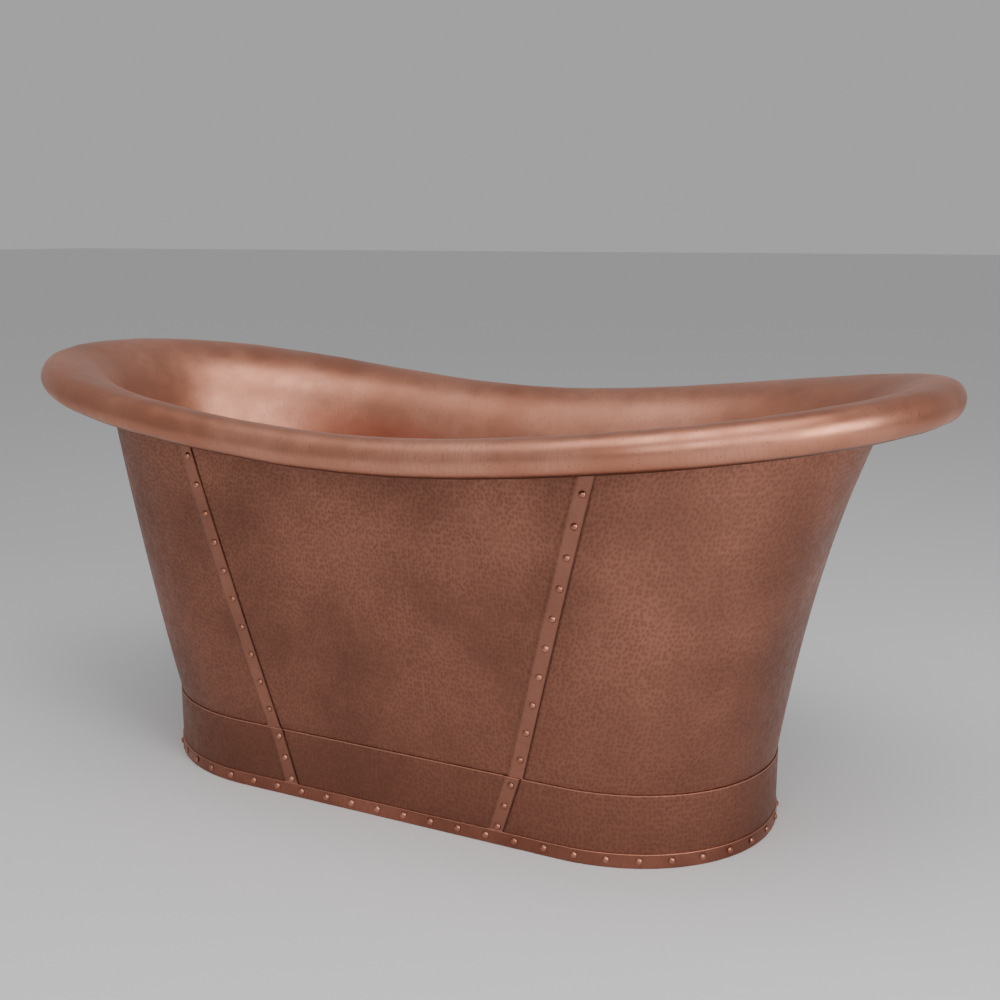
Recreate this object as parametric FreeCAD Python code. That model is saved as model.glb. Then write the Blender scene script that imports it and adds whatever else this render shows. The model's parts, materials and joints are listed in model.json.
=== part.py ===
import FreeCAD, Part
import math
import os
from FreeCAD import Vector

# Freestanding double-skinned copper bathtub with a saddle-shaped rolled rim.
# Frame: millimetres, +Z up, X along the tub, -Y is the near (overflow) side.
# Origin: middle of the footprint on the floor, straight below the waste.

# ---- driving dimensions -------------------------------------------------
SHEET = 1.5                      # copper sheet thickness of every formed panel

RIM_HALF_LENGTH = 810.0          # centre line of the rolled rim
RIM_HALF_WIDTH = 351.2
RIM_STRAIGHT = 110.0
RIM_POWER_X = 3.9
RIM_POWER_Y = 1.96
RIM_MIDDLE_HEIGHT = 640.4        # the saddle: low in the middle, high at the ends
RIM_END_HEIGHT = 727.5
RIM_SADDLE = 2.31                # how sharply the saddle turns in the middle
ROLL_RADIUS = 28.0

BASE_HALF_LENGTH = 583.2         # outer face of the plinth
BASE_HALF_WIDTH = 250.1
BASE_STRAIGHT = 308.4
BASE_POWER = 2.04
PLINTH_TOP = 121.6
PLINTH_OVERLAP = 25.0            # the skirt reaches down behind the plinth
SKIRT_INSET = 2.0                # the skirt stands this far inside the plinth
FLARE_SPAN = 585.2               # height over which the flare is described
TRIM_HEIGHT = 24.0
TRIM_PROUD = 2.0

SKIRT_TUCK = 16.0                # skirt's top edge below the rim's centre line
LIP_GAP = 1.2                    # between the rolled lip's edge and the skirt

LAP_WIDTH = 24.0                 # riveted lap seams
LAP_JOIN = 3.0
SEAM_X_LOW = 244.0               # seam's place at the lowest skirt rivet
SEAM_SLOPE = 0.2636
SEAM_Z_LOW = 154.6
SEAM_PITCH = 49.7
SEAM_RIVETS = 10
PLINTH_SEAM_X_LOW = 203.0
PLINTH_SEAM_SLOPE = 0.314
PLINTH_SEAM_Z_LOW = 32.0
PLINTH_SEAM_PITCH = 37.6
PLINTH_SEAM_RIVETS = 3
TRIM_RIVETS = 56
TRIM_RIVET_HEIGHT = 13.1
TRIM_RIVET_LIFT = 0.08           # head clears the band's bowed face
RIVET_HEAD_RADIUS = 6.0
RIVET_HEAD_HEIGHT = 4.0
RIVET_SHANK_RADIUS = 2.4

FLOOR_HALF_LENGTH = 450.0        # flat of the basin's floor
FLOOR_HALF_WIDTH = 150.0
FLOOR_HEIGHT = 142.0
FLOOR_PITCH = 6.0                # fall from the flat's edge to the waste
WALL_HALF_LENGTH = 676.0         # basin wall where the shoulder starts
WALL_HALF_WIDTH = 252.0
SHOULDER_DEPTH = 120.0           # shoulder's height below the crest
WALL_LEAN = 0.18                 # outward lean of the wall at the shoulder

WASTE_HOLE_RADIUS = 24.0
OVERFLOW_HEIGHT = 520.0
OVERFLOW_HOLE_RADIUS = 22.0

WALL_STRAIGHT = 230.0            # straight stretch of the wall's outline in plan
WALL_POWER = 2.2
LEAN_AT_END = 0.36               # the back rests lean more than the sides
HEEL_AT_SIDE = 0.72              # how far the floor runs out before it turns up
HEEL_AT_END = 0.42
WALL_STEPS = 9                   # rows of points along each stretch of the profile
SHOULDER_STEPS = 6
ROLL_STEPS = 9
LIP_STEPS = 6
FLOOR_SHARES = (0, 0.04, 0.1, 0.22, 0.4, 0.6, 0.8)

PLINTH_BOTTOM = 1.0              # the plinth clears the floor
BASE_RING_THICKNESS = 4.0

CRADLE_X = 330.0                 # middle of each cradle along the tub
CRADLE_TUBE = 30.0               # square section of legs and beam
CRADLE_TOP = 128.0
CRADLE_HALF_SPAN = 150.0
FOOT_THICKNESS = 4.0
FOOT_HALF = 40.0
FOOT_PAD = 3.0
TIE_BAR_Y = 107.0
TIE_BAR_WIDTH = 25.0
TIE_BAR_THICKNESS = 5.0

WASTE_FLOOR = FLOOR_HEIGHT - FLOOR_PITCH   # basin's floor round the waste
BARREL_RADIUS = 22.0
BARREL_BORE = 19.0
FLANGE_RADIUS = 35.0
FLANGE_BOTTOM = WASTE_FLOOR + 2.2
FLANGE_TOP = FLANGE_BOTTOM + 2.5
BARREL_BOTTOM = 108.0
TAILPIECE_RADIUS = 19.05         # plain end that takes the house trap
TAILPIECE_NECK_RADIUS = 18.8     # inside its nut
PLUG_TRAVEL = 10.0
PLUG_RADIUS = 31.0
STEM_RADIUS = 3.9
PIPE_RADIUS = 11.0
PIPE_BORE = 9.8
PORT_HEIGHT = 92.0               # side port of the waste, where the overflow pipe arrives
PORT_END = 50.0

OVERFLOW_PLATE_RADIUS = 34.0
KNOB_RADIUS = 23.0
SPINDLE_RADIUS = 4.5

FAR = 900.0                      # beyond every wall

STATIONS = 33                    # points round each half of an oval
FINE_STATIONS = 385              # the same, where a rivet's seat is looked up
UP = Vector(0, 0, 1)


# ---- ovals --------------------------------------------------------------
def half_oval(half_length, half_width, straight, power_x, power_y, count=STATIONS):
    """Right half of an oval, evenly spaced from the back middle round to the front middle."""
    end = half_length - straight
    dense = [Vector(0, half_width, 0)]
    steps = 360
    for step in range(steps + 1):
        turn = math.pi * step / steps
        run = max(math.sin(turn), 0.0) ** (2.0 / power_x)
        side = abs(math.cos(turn)) ** (2.0 / power_y)
        side = math.copysign(side, math.cos(turn))
        dense.append(Vector(straight + end * run, half_width * side, 0))
    dense.append(Vector(0, -half_width, 0))
    return evenly_spaced(dense, count)


def evenly_spaced(points, count):
    """Walk along a polyline and return count points at equal distances."""
    reach = [0.0]
    for before, after in zip(points, points[1:]):
        reach.append(reach[-1] + before.distanceToPoint(after))
    result = []
    leg = 0
    for number in range(count):
        wanted = reach[-1] * number / (count - 1)
        while leg < len(points) - 2 and reach[leg + 1] < wanted:
            leg += 1
        length = reach[leg + 1] - reach[leg]
        share = (wanted - reach[leg]) / length if length > 0 else 0.0
        result.append(points[leg] + (points[leg + 1] - points[leg]) * share)
    return result


def outward(points):
    """Unit vectors in plan that point out of a half oval, one for each point."""
    normals = []
    last = len(points) - 1
    for number in range(len(points)):
        if number == 0:
            normals.append(Vector(0, 1, 0))
        elif number == last:
            normals.append(Vector(0, -1, 0))
        else:
            along = points[number + 1] - points[number - 1]
            normals.append(Vector(-along.y, along.x, 0).normalize())
    return normals


def grown(points, distance):
    """The half oval moved outward in plan by a distance."""
    return [point + normal * distance for point, normal in zip(points, outward(points))]


def lifted(points, height):
    return [Vector(point.x, point.y, height) for point in points]


def saddle(x):
    """Height of the rim's centre line at a distance x from the middle."""
    rise = math.sqrt(1 + (RIM_SADDLE * x / RIM_HALF_LENGTH) ** 2) - 1
    full = math.sqrt(1 + RIM_SADDLE ** 2) - 1
    return RIM_MIDDLE_HEIGHT + (RIM_END_HEIGHT - RIM_MIDDLE_HEIGHT) * rise / full


def base_oval(distance=0.0, height=0.0, count=STATIONS):
    """Half of the plinth's outline, moved outward by a distance."""
    points = half_oval(BASE_HALF_LENGTH, BASE_HALF_WIDTH, BASE_STRAIGHT, BASE_POWER, BASE_POWER, count)
    return lifted(grown(points, distance), height)


def skirt_oval(height, distance=0.0, count=STATIONS):
    """Half of the skirt's outer face at a height, flaring like a trumpet at the ends."""
    u = (height - PLINTH_TOP) / FLARE_SPAN
    half_length = BASE_HALF_LENGTH - SKIRT_INSET + 74.6 * u + 41.1 * u * u + 35.3 * u ** 3
    half_width = BASE_HALF_WIDTH - SKIRT_INSET + 67.5 * u - 11.2 * u * u
    straight = BASE_STRAIGHT - 18.0 * u
    power = BASE_POWER + 1.55 * u - 1.65 * u * u
    points = half_oval(half_length, half_width, straight, power, power, count)
    return lifted(grown(points, distance), height)


def skirt_top(x):
    """Height of the skirt's top edge, which follows the saddle inside the rolled rim."""
    return saddle(x * 1.1) - SKIRT_TUCK


# ---- sheet bodies -------------------------------------------------------
def skin(grid):
    surface = Part.BSplineSurface()
    surface.interpolate(grid)
    return surface


def grid_normals(grid):
    """Unit normals of a grid of points, pointing to the left of its rows."""
    rows, columns = len(grid), len(grid[0])
    normals = []
    for row in range(rows):
        line = []
        for column in range(columns):
            below, above = grid[max(row - 1, 0)][column], grid[min(row + 1, rows - 1)][column]
            if column == 0:
                along = Vector(1, 0, 0)
            elif column == columns - 1:
                along = Vector(-1, 0, 0)
            else:
                along = grid[row][column + 1] - grid[row][column - 1]
            line.append((above - below).cross(along).normalize())
        normals.append(line)
    return normals


def sheet_body(face_grid, back_grid):
    """Closed sheet between two half grids, completed by its mirror image across X = 0."""
    face, back = skin(face_grid), skin(back_grid)
    half = [face.toShape(), back.toShape()]
    face_ends, back_ends = face.bounds(), back.bounds()
    for end in (0, 1):
        face_edge = face.uIso(face_ends[end]).toShape()
        back_edge = back.uIso(back_ends[end]).toShape()
        half.append(Part.makeRuledSurface(face_edge, back_edge))
    faces = half + [piece.mirror(Vector(), Vector(1, 0, 0)) for piece in half]
    sewn = Part.makeCompound(faces)
    sewn.sewShape()
    body = Part.Solid(sewn.Shells[0])
    if body.Volume < 0:
        body.reverse()
    return body


def hoop(outline, inner, outer, bottom, top):
    """Band with straight walls that follows an outline, between two distances from it."""
    wires = []
    for distance in (outer, inner):
        half = outline(distance, bottom)
        mirrored = [Vector(-point.x, point.y, point.z) for point in reversed(half[1:-1])]
        curve = Part.BSplineCurve()
        curve.interpolate(Points=half + mirrored, PeriodicFlag=True)
        wires.append(Part.Wire(curve.toShape()))
    ring = Part.Face(wires[0]).cut(Part.Face(wires[1]))
    return ring.extrude(Vector(0, 0, top - bottom)).Solids[0]


def bezier(first, second, third, fourth, share):
    rest = 1 - share
    return (first * rest ** 3 + second * (3 * rest * rest * share)
            + third * (3 * rest * share * share) + fourth * share ** 3)


# ---- basin --------------------------------------------------------------
def rim_oval():
    return half_oval(RIM_HALF_LENGTH, RIM_HALF_WIDTH, RIM_STRAIGHT, RIM_POWER_X, RIM_POWER_Y)


def basin_profile(floor_edge, wall, centre, out, lip):
    """Points from the floor's edge up the wall, over the shoulder and round the rolled rim."""
    endness = out.x * out.x
    lean = WALL_LEAN + (LEAN_AT_END - WALL_LEAN) * endness
    heel = HEEL_AT_SIDE + (HEEL_AT_END - HEEL_AT_SIDE) * endness
    rising = out * lean + UP
    crest = centre + UP * ROLL_RADIUS
    bottom = centre - UP * ROLL_RADIUS
    run = Vector(wall.x - floor_edge.x, wall.y - floor_edge.y, 0)
    height = wall.z - floor_edge.z
    heel_handle = floor_edge + run * heel
    wall_handle = wall - rising * (0.5 * height)
    shoulder_run = Vector(crest.x - wall.x, crest.y - wall.y, 0).Length
    low_handle = wall + rising * (0.5 * SHOULDER_DEPTH)
    high_handle = crest - out * (0.5 * shoulder_run)
    points = []
    for step in range(WALL_STEPS):
        points.append(bezier(floor_edge, heel_handle, wall_handle, wall, step / WALL_STEPS))
    for step in range(SHOULDER_STEPS):
        points.append(bezier(wall, low_handle, high_handle, crest, step / SHOULDER_STEPS))
    for step in range(ROLL_STEPS):
        turn = math.pi / 2 - math.pi * step / ROLL_STEPS
        points.append(centre + out * (ROLL_RADIUS * math.cos(turn)) + UP * (ROLL_RADIUS * math.sin(turn)))
    for step in range(LIP_STEPS + 1):
        points.append(bezier(bottom, bottom - out * 18, lip + out * 15, lip, step / LIP_STEPS))
    return points


def lip_edge():
    """Where the rolled lip ends, just outside the skirt and a little under its top edge."""
    below = 6.0
    edge = []
    for station in range(STATIONS):
        height = RIM_MIDDLE_HEIGHT
        for _ in range(4):
            point = skirt_oval(height, LIP_GAP)[station]
            height = skirt_top(point.x) - below
        edge.append(skirt_oval(height, LIP_GAP)[station])
    return edge


def basin_grid():
    """Rows of points on the wet face, from the waste hole out to the lip."""
    hole = half_oval(WASTE_HOLE_RADIUS, WASTE_HOLE_RADIUS, 0, 2, 2)
    floor_edge = lifted(
        half_oval(FLOOR_HALF_LENGTH, FLOOR_HALF_WIDTH, WALL_STRAIGHT, WALL_POWER, WALL_POWER),
        FLOOR_HEIGHT)
    centre = [Vector(point.x, point.y, saddle(point.x)) for point in rim_oval()]
    out = outward(rim_oval())
    wall = half_oval(WALL_HALF_LENGTH, WALL_HALF_WIDTH, WALL_STRAIGHT, WALL_POWER, WALL_POWER)
    lip = lip_edge()
    columns = []
    for station in range(STATIONS):
        top = centre[station].z + ROLL_RADIUS - SHOULDER_DEPTH
        wall_point = Vector(wall[station].x, wall[station].y, top)
        start = hole[station] + UP * (FLOOR_HEIGHT - FLOOR_PITCH)
        column = [start + (floor_edge[station] - start) * share for share in FLOOR_SHARES]
        column += basin_profile(floor_edge[station], wall_point, centre[station], out[station],
                                lip[station])
        columns.append(column)
    rows = len(columns[0])
    return [[columns[station][row] for station in range(STATIONS)] for row in range(rows)]


def moved_along_normals(grid, distance):
    normals = grid_normals(grid)
    return [[point + normal * distance for point, normal in zip(line, directions)]
            for line, directions in zip(grid, normals)]


def across(radius, start, length, point, direction):
    """Cylinder whose axis passes through a point, from start along a direction."""
    return Part.makeCylinder(radius, length, point + direction * start, direction)


def overflow_frame(grid):
    """Point on the near wall where the overflow sits, with its inward and upward directions."""
    line = [row[-1] for row in grid]
    for low, high in zip(line[4:], line[5:]):
        if low.z <= OVERFLOW_HEIGHT <= high.z:
            share = (OVERFLOW_HEIGHT - low.z) / (high.z - low.z)
            climb = (high - low).normalize()
            inward = Vector(0, climb.z, -climb.y)
            return low + (high - low) * share, inward, climb
    raise ValueError("overflow height misses the wall")


# ---- skirt, plinth and trim ---------------------------------------------
def seam_x(height):
    return SEAM_X_LOW + SEAM_SLOPE * (height - SEAM_Z_LOW)


def plinth_seam_x(height):
    return PLINTH_SEAM_X_LOW + PLINTH_SEAM_SLOPE * (height - PLINTH_SEAM_Z_LOW)


def side_prism(left, right, bottom, top_of, near):
    """Block between two leaning lines in the XZ plane, on the near or the back half."""
    steps = 24
    high = 800.0
    outline = [Vector(left(bottom), 0, bottom), Vector(right(bottom), 0, bottom)]
    low_end, high_end = right(high), left(high)
    for step in range(steps + 1):
        x = low_end + (high_end - low_end) * step / steps
        outline.append(Vector(x, 0, top_of(x)))
    face = Part.Face(Part.makePolygon(outline + outline[:1]))
    return face.extrude(Vector(0, -FAR if near else FAR, 0))


def skirt_layer(inner, outer, bottom):
    rows = 9
    top = 765.0
    heights = [bottom + (top - bottom) * row / (rows - 1) for row in range(rows)]
    face = [skirt_oval(height, outer) for height in heights]
    back = [skirt_oval(height, inner) for height in heights]
    return sheet_body(back, face)


def turned(shape):
    """The same piece on the opposite side of the tub, turned half a turn about +Z."""
    copy = shape.copy()
    copy.rotate(Vector(), UP, 180)
    return copy


def panel_pair(body_layer, lap_layer, seam, bottom, top_of, lap_bottom, lap_top_of):
    """Front and right panels; each one's right edge laps over its neighbour."""
    half = LAP_WIDTH / 2

    def lap_start(height):
        return seam(height) - half

    def lap_end(height):
        return seam(height) + half

    def opposite_start(height):
        return -seam(height) - half

    def far(height):
        return FAR

    def joined_start(height):
        return lap_start(height) - LAP_JOIN

    def joined_end(height):
        return lap_end(height) + LAP_JOIN

    front = body_layer.common(side_prism(opposite_start, lap_start, bottom, top_of, True))
    front_lap = lap_layer.common(side_prism(joined_start, lap_end, lap_bottom, lap_top_of, True))
    right_near = side_prism(lap_start, far, bottom, top_of, True)
    right_back = side_prism(lap_end, far, bottom, top_of, False)
    right = body_layer.common(right_near.fuse(right_back))
    right_lap = lap_layer.common(side_prism(lap_start, joined_end, lap_bottom, lap_top_of, False))
    return front.fuse(front_lap), right.fuse(right_lap)


def skirt_panels():
    below_lip = 14.0
    above_plinth = 0.6
    bottom = PLINTH_TOP - PLINTH_OVERLAP
    body_layer = skirt_layer(-SHEET, 0, bottom)
    lap_layer = skirt_layer(0, SHEET, bottom)
    return panel_pair(body_layer, lap_layer, seam_x, bottom, skirt_top, PLINTH_TOP + above_plinth,
                      lambda x: skirt_top(x) - below_lip)


def plinth_panels():
    above_trim = 0.4
    body_layer = hoop(base_oval, -SHEET, 0, PLINTH_BOTTOM, PLINTH_TOP)
    lap_layer = hoop(base_oval, 0, SHEET, PLINTH_BOTTOM, PLINTH_TOP)
    return panel_pair(body_layer, lap_layer, plinth_seam_x, PLINTH_BOTTOM, lambda x: PLINTH_TOP,
                      TRIM_HEIGHT + above_trim, lambda x: PLINTH_TOP)


# ---- rivets -------------------------------------------------------------
def dome_arc(radius, base, crown):
    """Arc of a sphere centred on +Z, from its edge at a radius up to its crown on the axis."""
    height = crown - base
    sphere = (height * height + radius * radius) / (2 * height)
    middle = crown - sphere
    half_turn = math.asin(radius / sphere) / 2
    between = Vector(sphere * math.sin(half_turn), 0, middle + sphere * math.cos(half_turn))
    return Part.Arc(Vector(radius, 0, base), between, Vector(0, 0, crown)).toShape()


def rivet(grip, head_radius):
    """Domed rivet through a grip of sheets; its head's underside is at the origin, axis +Z."""
    tail_radius = 4.0
    tail_height = 1.2
    lift = 0.1
    outline = [Vector(0, 0, -grip - tail_height), Vector(tail_radius, 0, -grip - tail_height),
               Vector(tail_radius, 0, -grip), Vector(RIVET_SHANK_RADIUS, 0, -grip),
               Vector(RIVET_SHANK_RADIUS, 0, lift), Vector(head_radius, 0, lift)]
    crown = Vector(0, 0, RIVET_HEAD_HEIGHT)
    edges = [Part.LineSegment(a, b).toShape() for a, b in zip(outline, outline[1:])]
    edges.append(dome_arc(head_radius, lift, RIVET_HEAD_HEIGHT))
    edges.append(Part.LineSegment(crown, outline[0]).toShape())
    return Part.Face(Part.Wire(edges)).revolve(Vector(), UP, 360)


def near_point(oval, x):
    """Point and plan normal of an oval on the near side, at a distance x from the middle."""
    normals = outward(oval)
    for number in range(len(oval) - 1, 0, -1):
        after, before = oval[number], oval[number - 1]
        if after.x <= abs(x) <= before.x and before.y < 0:
            share = (abs(x) - after.x) / (before.x - after.x)
            point = after + (before - after) * share
            normal = (normals[number] + (normals[number - 1] - normals[number]) * share).normalize()
            return Vector(math.copysign(point.x, x), point.y, point.z), \
                Vector(math.copysign(normal.x, x), normal.y, 0)
    raise ValueError("no wall at this distance")


def skirt_rivet_seats():
    """Seats (point, direction) of the near side's skirt rivets, on the lap's outer face."""
    step = 4.0
    seats = []
    for side in (-1, 1):
        for number in range(SEAM_RIVETS):
            height = SEAM_Z_LOW + SEAM_PITCH * number
            x = side * seam_x(height)
            point, normal = near_point(skirt_oval(height, SHEET, FINE_STATIONS), x)
            higher, _ = near_point(skirt_oval(height + step, SHEET, FINE_STATIONS), x)
            climb = (higher - point).normalize()
            seats.append((point, (normal - climb * normal.dot(climb)).normalize()))
    return seats


def plinth_rivet_seats():
    seats = []
    for side in (-1, 1):
        for number in range(PLINTH_SEAM_RIVETS):
            height = PLINTH_SEAM_Z_LOW + PLINTH_SEAM_PITCH * number
            oval = base_oval(SHEET, height, FINE_STATIONS)
            seats.append(near_point(oval, side * plinth_seam_x(height)))
    return seats


def trim_rivet_seats():
    """Seats round the whole trim band, with the near side's middle halfway between two rivets."""
    outline = base_oval(TRIM_PROUD + TRIM_RIVET_LIFT, TRIM_RIVET_HEIGHT, FINE_STATIONS)
    on_half = TRIM_RIVETS // 2
    spots = evenly_spaced(outline, 2 * on_half + 1)
    normals = outward(spots)
    seats = []
    for number in range(1, 2 * on_half, 2):
        point, normal = spots[number], normals[number]
        seats.append((point, normal))
        seats.append((Vector(-point.x, point.y, point.z), Vector(-normal.x, normal.y, 0)))
    return seats


def placed(shape, seat):
    point, direction = seat
    copy = shape.copy()
    copy.Placement = FreeCAD.Placement(point, FreeCAD.Rotation(UP, direction))
    return copy


def both_sides(shapes):
    return shapes + [turned(shape) for shape in shapes]


def shank_holes(seats, depth):
    """Clearance holes for rivet shanks, to be cut from the sheets they pass through."""
    clearance = 0.1
    outside = 3.0
    tool = Part.makeCylinder(RIVET_SHANK_RADIUS + clearance, depth + outside, Vector(0, 0, -depth), UP)
    return [placed(tool, seat) for seat in seats]


# ---- turned and hexagonal pieces ----------------------------------------
def turned_piece(outline):
    """Solid of revolution about +Z from (radius, height) corners."""
    points = [Vector(radius, 0, height) for radius, height in outline]
    face = Part.Face(Part.makePolygon(points + points[:1]))
    return face.revolve(Vector(), UP, 360)


def tube(outer, inner, bottom, top):
    return turned_piece([(inner, bottom), (outer, bottom), (outer, top), (inner, top)])


def hexagon_nut(across_flats, inner, bottom, top):
    corner = across_flats / math.sqrt(3)
    turns = [math.radians(60 * k) for k in range(7)]
    corners = [Vector(corner * math.cos(turn), corner * math.sin(turn), bottom) for turn in turns]
    body = Part.Face(Part.makePolygon(corners)).extrude(Vector(0, 0, top - bottom))
    return body.cut(Part.makeCylinder(inner, top - bottom, Vector(0, 0, bottom)))


def box(x, y, z):
    """Block between two limits along each axis."""
    return Part.makeBox(x[1] - x[0], y[1] - y[0], z[1] - z[0], Vector(x[0], y[0], z[0]))


# ---- hidden frame that carries the basin --------------------------------
def base_ring():
    """Steel hoop inside the plinth that the trim rivets clamp; it stands on the floor."""
    inset = SHEET + 0.1
    return hoop(base_oval, -inset - BASE_RING_THICKNESS, -inset, 0, TRIM_HEIGHT)


def cradle(x):
    """Welded cross beam on two legs with foot plates, across the tub at x."""
    half = CRADLE_TUBE / 2
    beam_bottom = CRADLE_TOP - CRADLE_TUBE
    foot_top = FOOT_PAD + FOOT_THICKNESS
    body = box((x - half, x + half), (-CRADLE_HALF_SPAN, CRADLE_HALF_SPAN), (beam_bottom, CRADLE_TOP))
    wall = 2.0
    bore = box((x - half + wall, x + half - wall), (-CRADLE_HALF_SPAN, CRADLE_HALF_SPAN),
               (beam_bottom + wall, CRADLE_TOP - wall))
    body = body.cut(bore)
    for side in (-1, 1):
        y = side * (CRADLE_HALF_SPAN - half)
        body = body.fuse(box((x - half, x + half), (y - half, y + half), (foot_top, beam_bottom)))
        body = body.fuse(box((x - FOOT_HALF, x + FOOT_HALF), (y - FOOT_HALF, y + FOOT_HALF),
                             (FOOT_PAD, foot_top)))
    return body.removeSplitter()


def foot_pads():
    """Rubber pads under the four cradle feet."""
    pads = []
    half = 28.0
    for x in (-CRADLE_X, CRADLE_X):
        for side in (-1, 1):
            y = side * (CRADLE_HALF_SPAN - CRADLE_TUBE / 2)
            pads.append(box((x - half, x + half), (y - half, y + half), (0, FOOT_PAD)))
    return pads


def tie_bars():
    """Two flat bars that join the cradles lengthways, on their foot plates."""
    half = CRADLE_X + CRADLE_TUBE / 2
    bottom = FOOT_PAD + FOOT_THICKNESS
    bars = []
    for side in (-1, 1):
        y = side * TIE_BAR_Y
        bars.append(box((-half, half), (y - TIE_BAR_WIDTH / 2, y + TIE_BAR_WIDTH / 2),
                        (bottom, bottom + TIE_BAR_THICKNESS)))
    return bars


def at_tie_ends(shape):
    """Copies of a shape at the four places where a tie bar crosses a foot plate."""
    copies = []
    for x in (-CRADLE_X, CRADLE_X):
        for side in (-1, 1):
            copy = shape.copy()
            copy.translate(Vector(x, side * TIE_BAR_Y, 0))
            copies.append(copy)
    return copies


def tie_bolts():
    """Bolts from above through the tie bars into the foot plates."""
    seat = FOOT_PAD + FOOT_THICKNESS + TIE_BAR_THICKNESS
    head = hexagon_nut(13.0, 0.5, seat, seat + 5.3)
    shank_bottom = FOOT_PAD + 0.5
    shank = Part.makeCylinder(4.0, seat + 5.3 - shank_bottom, Vector(0, 0, shank_bottom))
    return at_tie_ends(head.fuse(shank))


def bolt_holes():
    return at_tie_ends(Part.makeCylinder(4.1, 12.0, Vector(0, 0, FOOT_PAD - 1)))


def bearer_pads():
    """Rubber strips on the cradle beams, just under the basin's floor."""
    gap = 0.4
    under = FLOOR_HEIGHT - FLOOR_PITCH * 0.3 - SHEET
    half = 13.0
    reach = 95.0
    return [box((x - half, x + half), (-reach, reach), (CRADLE_TOP, under - gap))
            for x in (-CRADLE_X, CRADLE_X)]


# ---- waste --------------------------------------------------------------
def waste_flange():
    """Strainer flange with its threaded barrel and a three-spoke guide for the plug's stem."""
    edge_drop = 1.2
    body = turned_piece([(BARREL_BORE, BARREL_BOTTOM), (BARREL_RADIUS, BARREL_BOTTOM),
                         (BARREL_RADIUS, FLANGE_BOTTOM), (FLANGE_RADIUS, FLANGE_BOTTOM),
                         (FLANGE_RADIUS, FLANGE_TOP - edge_drop), (FLANGE_RADIUS - 4, FLANGE_TOP),
                         (BARREL_BORE + 2, FLANGE_TOP), (BARREL_BORE, FLANGE_TOP - 2)])
    guide_bottom = 113.0
    guide_top = 120.0
    guide = Part.makeCylinder(7.0, guide_top - guide_bottom, Vector(0, 0, guide_bottom))
    for turn in (90, 210, 330):
        spoke = box((4.0, BARREL_BORE + 0.5), (-1.5, 1.5), (guide_bottom, guide_top))
        spoke.rotate(Vector(), UP, turn)
        guide = guide.fuse(spoke)
    stem_clearance = 0.1
    bore = Part.makeCylinder(STEM_RADIUS + stem_clearance, 20, Vector(0, 0, guide_bottom - 5))
    return body.fuse(guide).cut(bore)


def waste_body():
    """Cup under the floor with an outlet neck below and a port for the overflow pipe."""
    outline = [(BARREL_RADIUS + 0.1, 104.0), (BARREL_RADIUS + 0.1, 130.0), (36.0, 130.0), (36.0, 126.5),
               (27.0, 126.5), (27.0, 80.0), (22.5, 76.0), (22.5, 56.0), (19.3, 56.0), (19.3, 80.0),
               (24.0, 84.0), (24.0, 104.0)]
    body = turned_piece(outline)
    toward_near = Vector(0, -1, 0)
    port = across(15.0, 20.0, PORT_END - 20.0, Vector(0, 0, PORT_HEIGHT), toward_near)
    body = body.fuse(port.cut(Part.makeCylinder(24.5, 60, Vector(0, 0, 70))))
    socket = across(PIPE_RADIUS + 0.1, 30.0, PORT_END, Vector(0, 0, PORT_HEIGHT), toward_near)
    passage = across(PIPE_BORE, 15.0, 30.0, Vector(0, 0, PORT_HEIGHT), toward_near)
    return body.cut(socket).cut(passage)


def plug():
    crown = FLANGE_TOP + 6.5
    rim = FLANGE_TOP + 3.2
    outline = [(0, rim - 1.5), (STEM_RADIUS, rim - 1.5), (26.0, rim - 1.5), (PLUG_RADIUS, rim)]
    edges = [Part.LineSegment(Vector(a[0], 0, a[1]), Vector(b[0], 0, b[1])).toShape()
             for a, b in zip(outline, outline[1:])]
    edges.append(dome_arc(PLUG_RADIUS, rim, crown))
    edges.append(Part.LineSegment(Vector(0, 0, crown), Vector(0, 0, rim - 1.5)).toShape())
    return Part.Face(Part.Wire(edges)).revolve(Vector(), UP, 360)


# ---- overflow -----------------------------------------------------------
def overflow_flange():
    """Faceplate with a threaded spigot, a spindle bearing and six water slots."""
    body = turned_piece([(17.5, -14.0), (20.5, -14.0), (20.5, 3.2), (OVERFLOW_PLATE_RADIUS, 3.2),
                         (OVERFLOW_PLATE_RADIUS, 4.6), (OVERFLOW_PLATE_RADIUS - 3, 7.0),
                         (SPINDLE_RADIUS + 0.1, 7.0), (SPINDLE_RADIUS + 0.1, 3.6), (17.5, 3.6)])
    for slot in range(6):
        hole = Part.makeCylinder(3.0, 10.0, Vector(12.5, 0, 0))
        hole.rotate(Vector(), UP, 60 * slot)
        body = body.cut(hole)
    return body


def overflow_body():
    """Cup behind the wall, with a port below for the pipe."""
    body = turned_piece([(0, -34.0), (27.0, -34.0), (27.0, -6.2), (20.6, -6.2), (20.6, -10.0),
                         (24.0, -13.0), (24.0, -31.0), (0, -31.0)])
    down = Vector(0, -1, 0)
    middle = Vector(0, 0, -19.0)
    port = across(12.6, 23.0, 19.0, middle, down)
    socket = across(PIPE_RADIUS + 0.1, 28.0, 20.0, middle, down)
    passage = across(PIPE_BORE, 20.0, 20.0, middle, down)
    return body.fuse(port.cut(Part.makeCylinder(24.3, 60, Vector(0, 0, -60)))).cut(socket).cut(passage)


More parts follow.
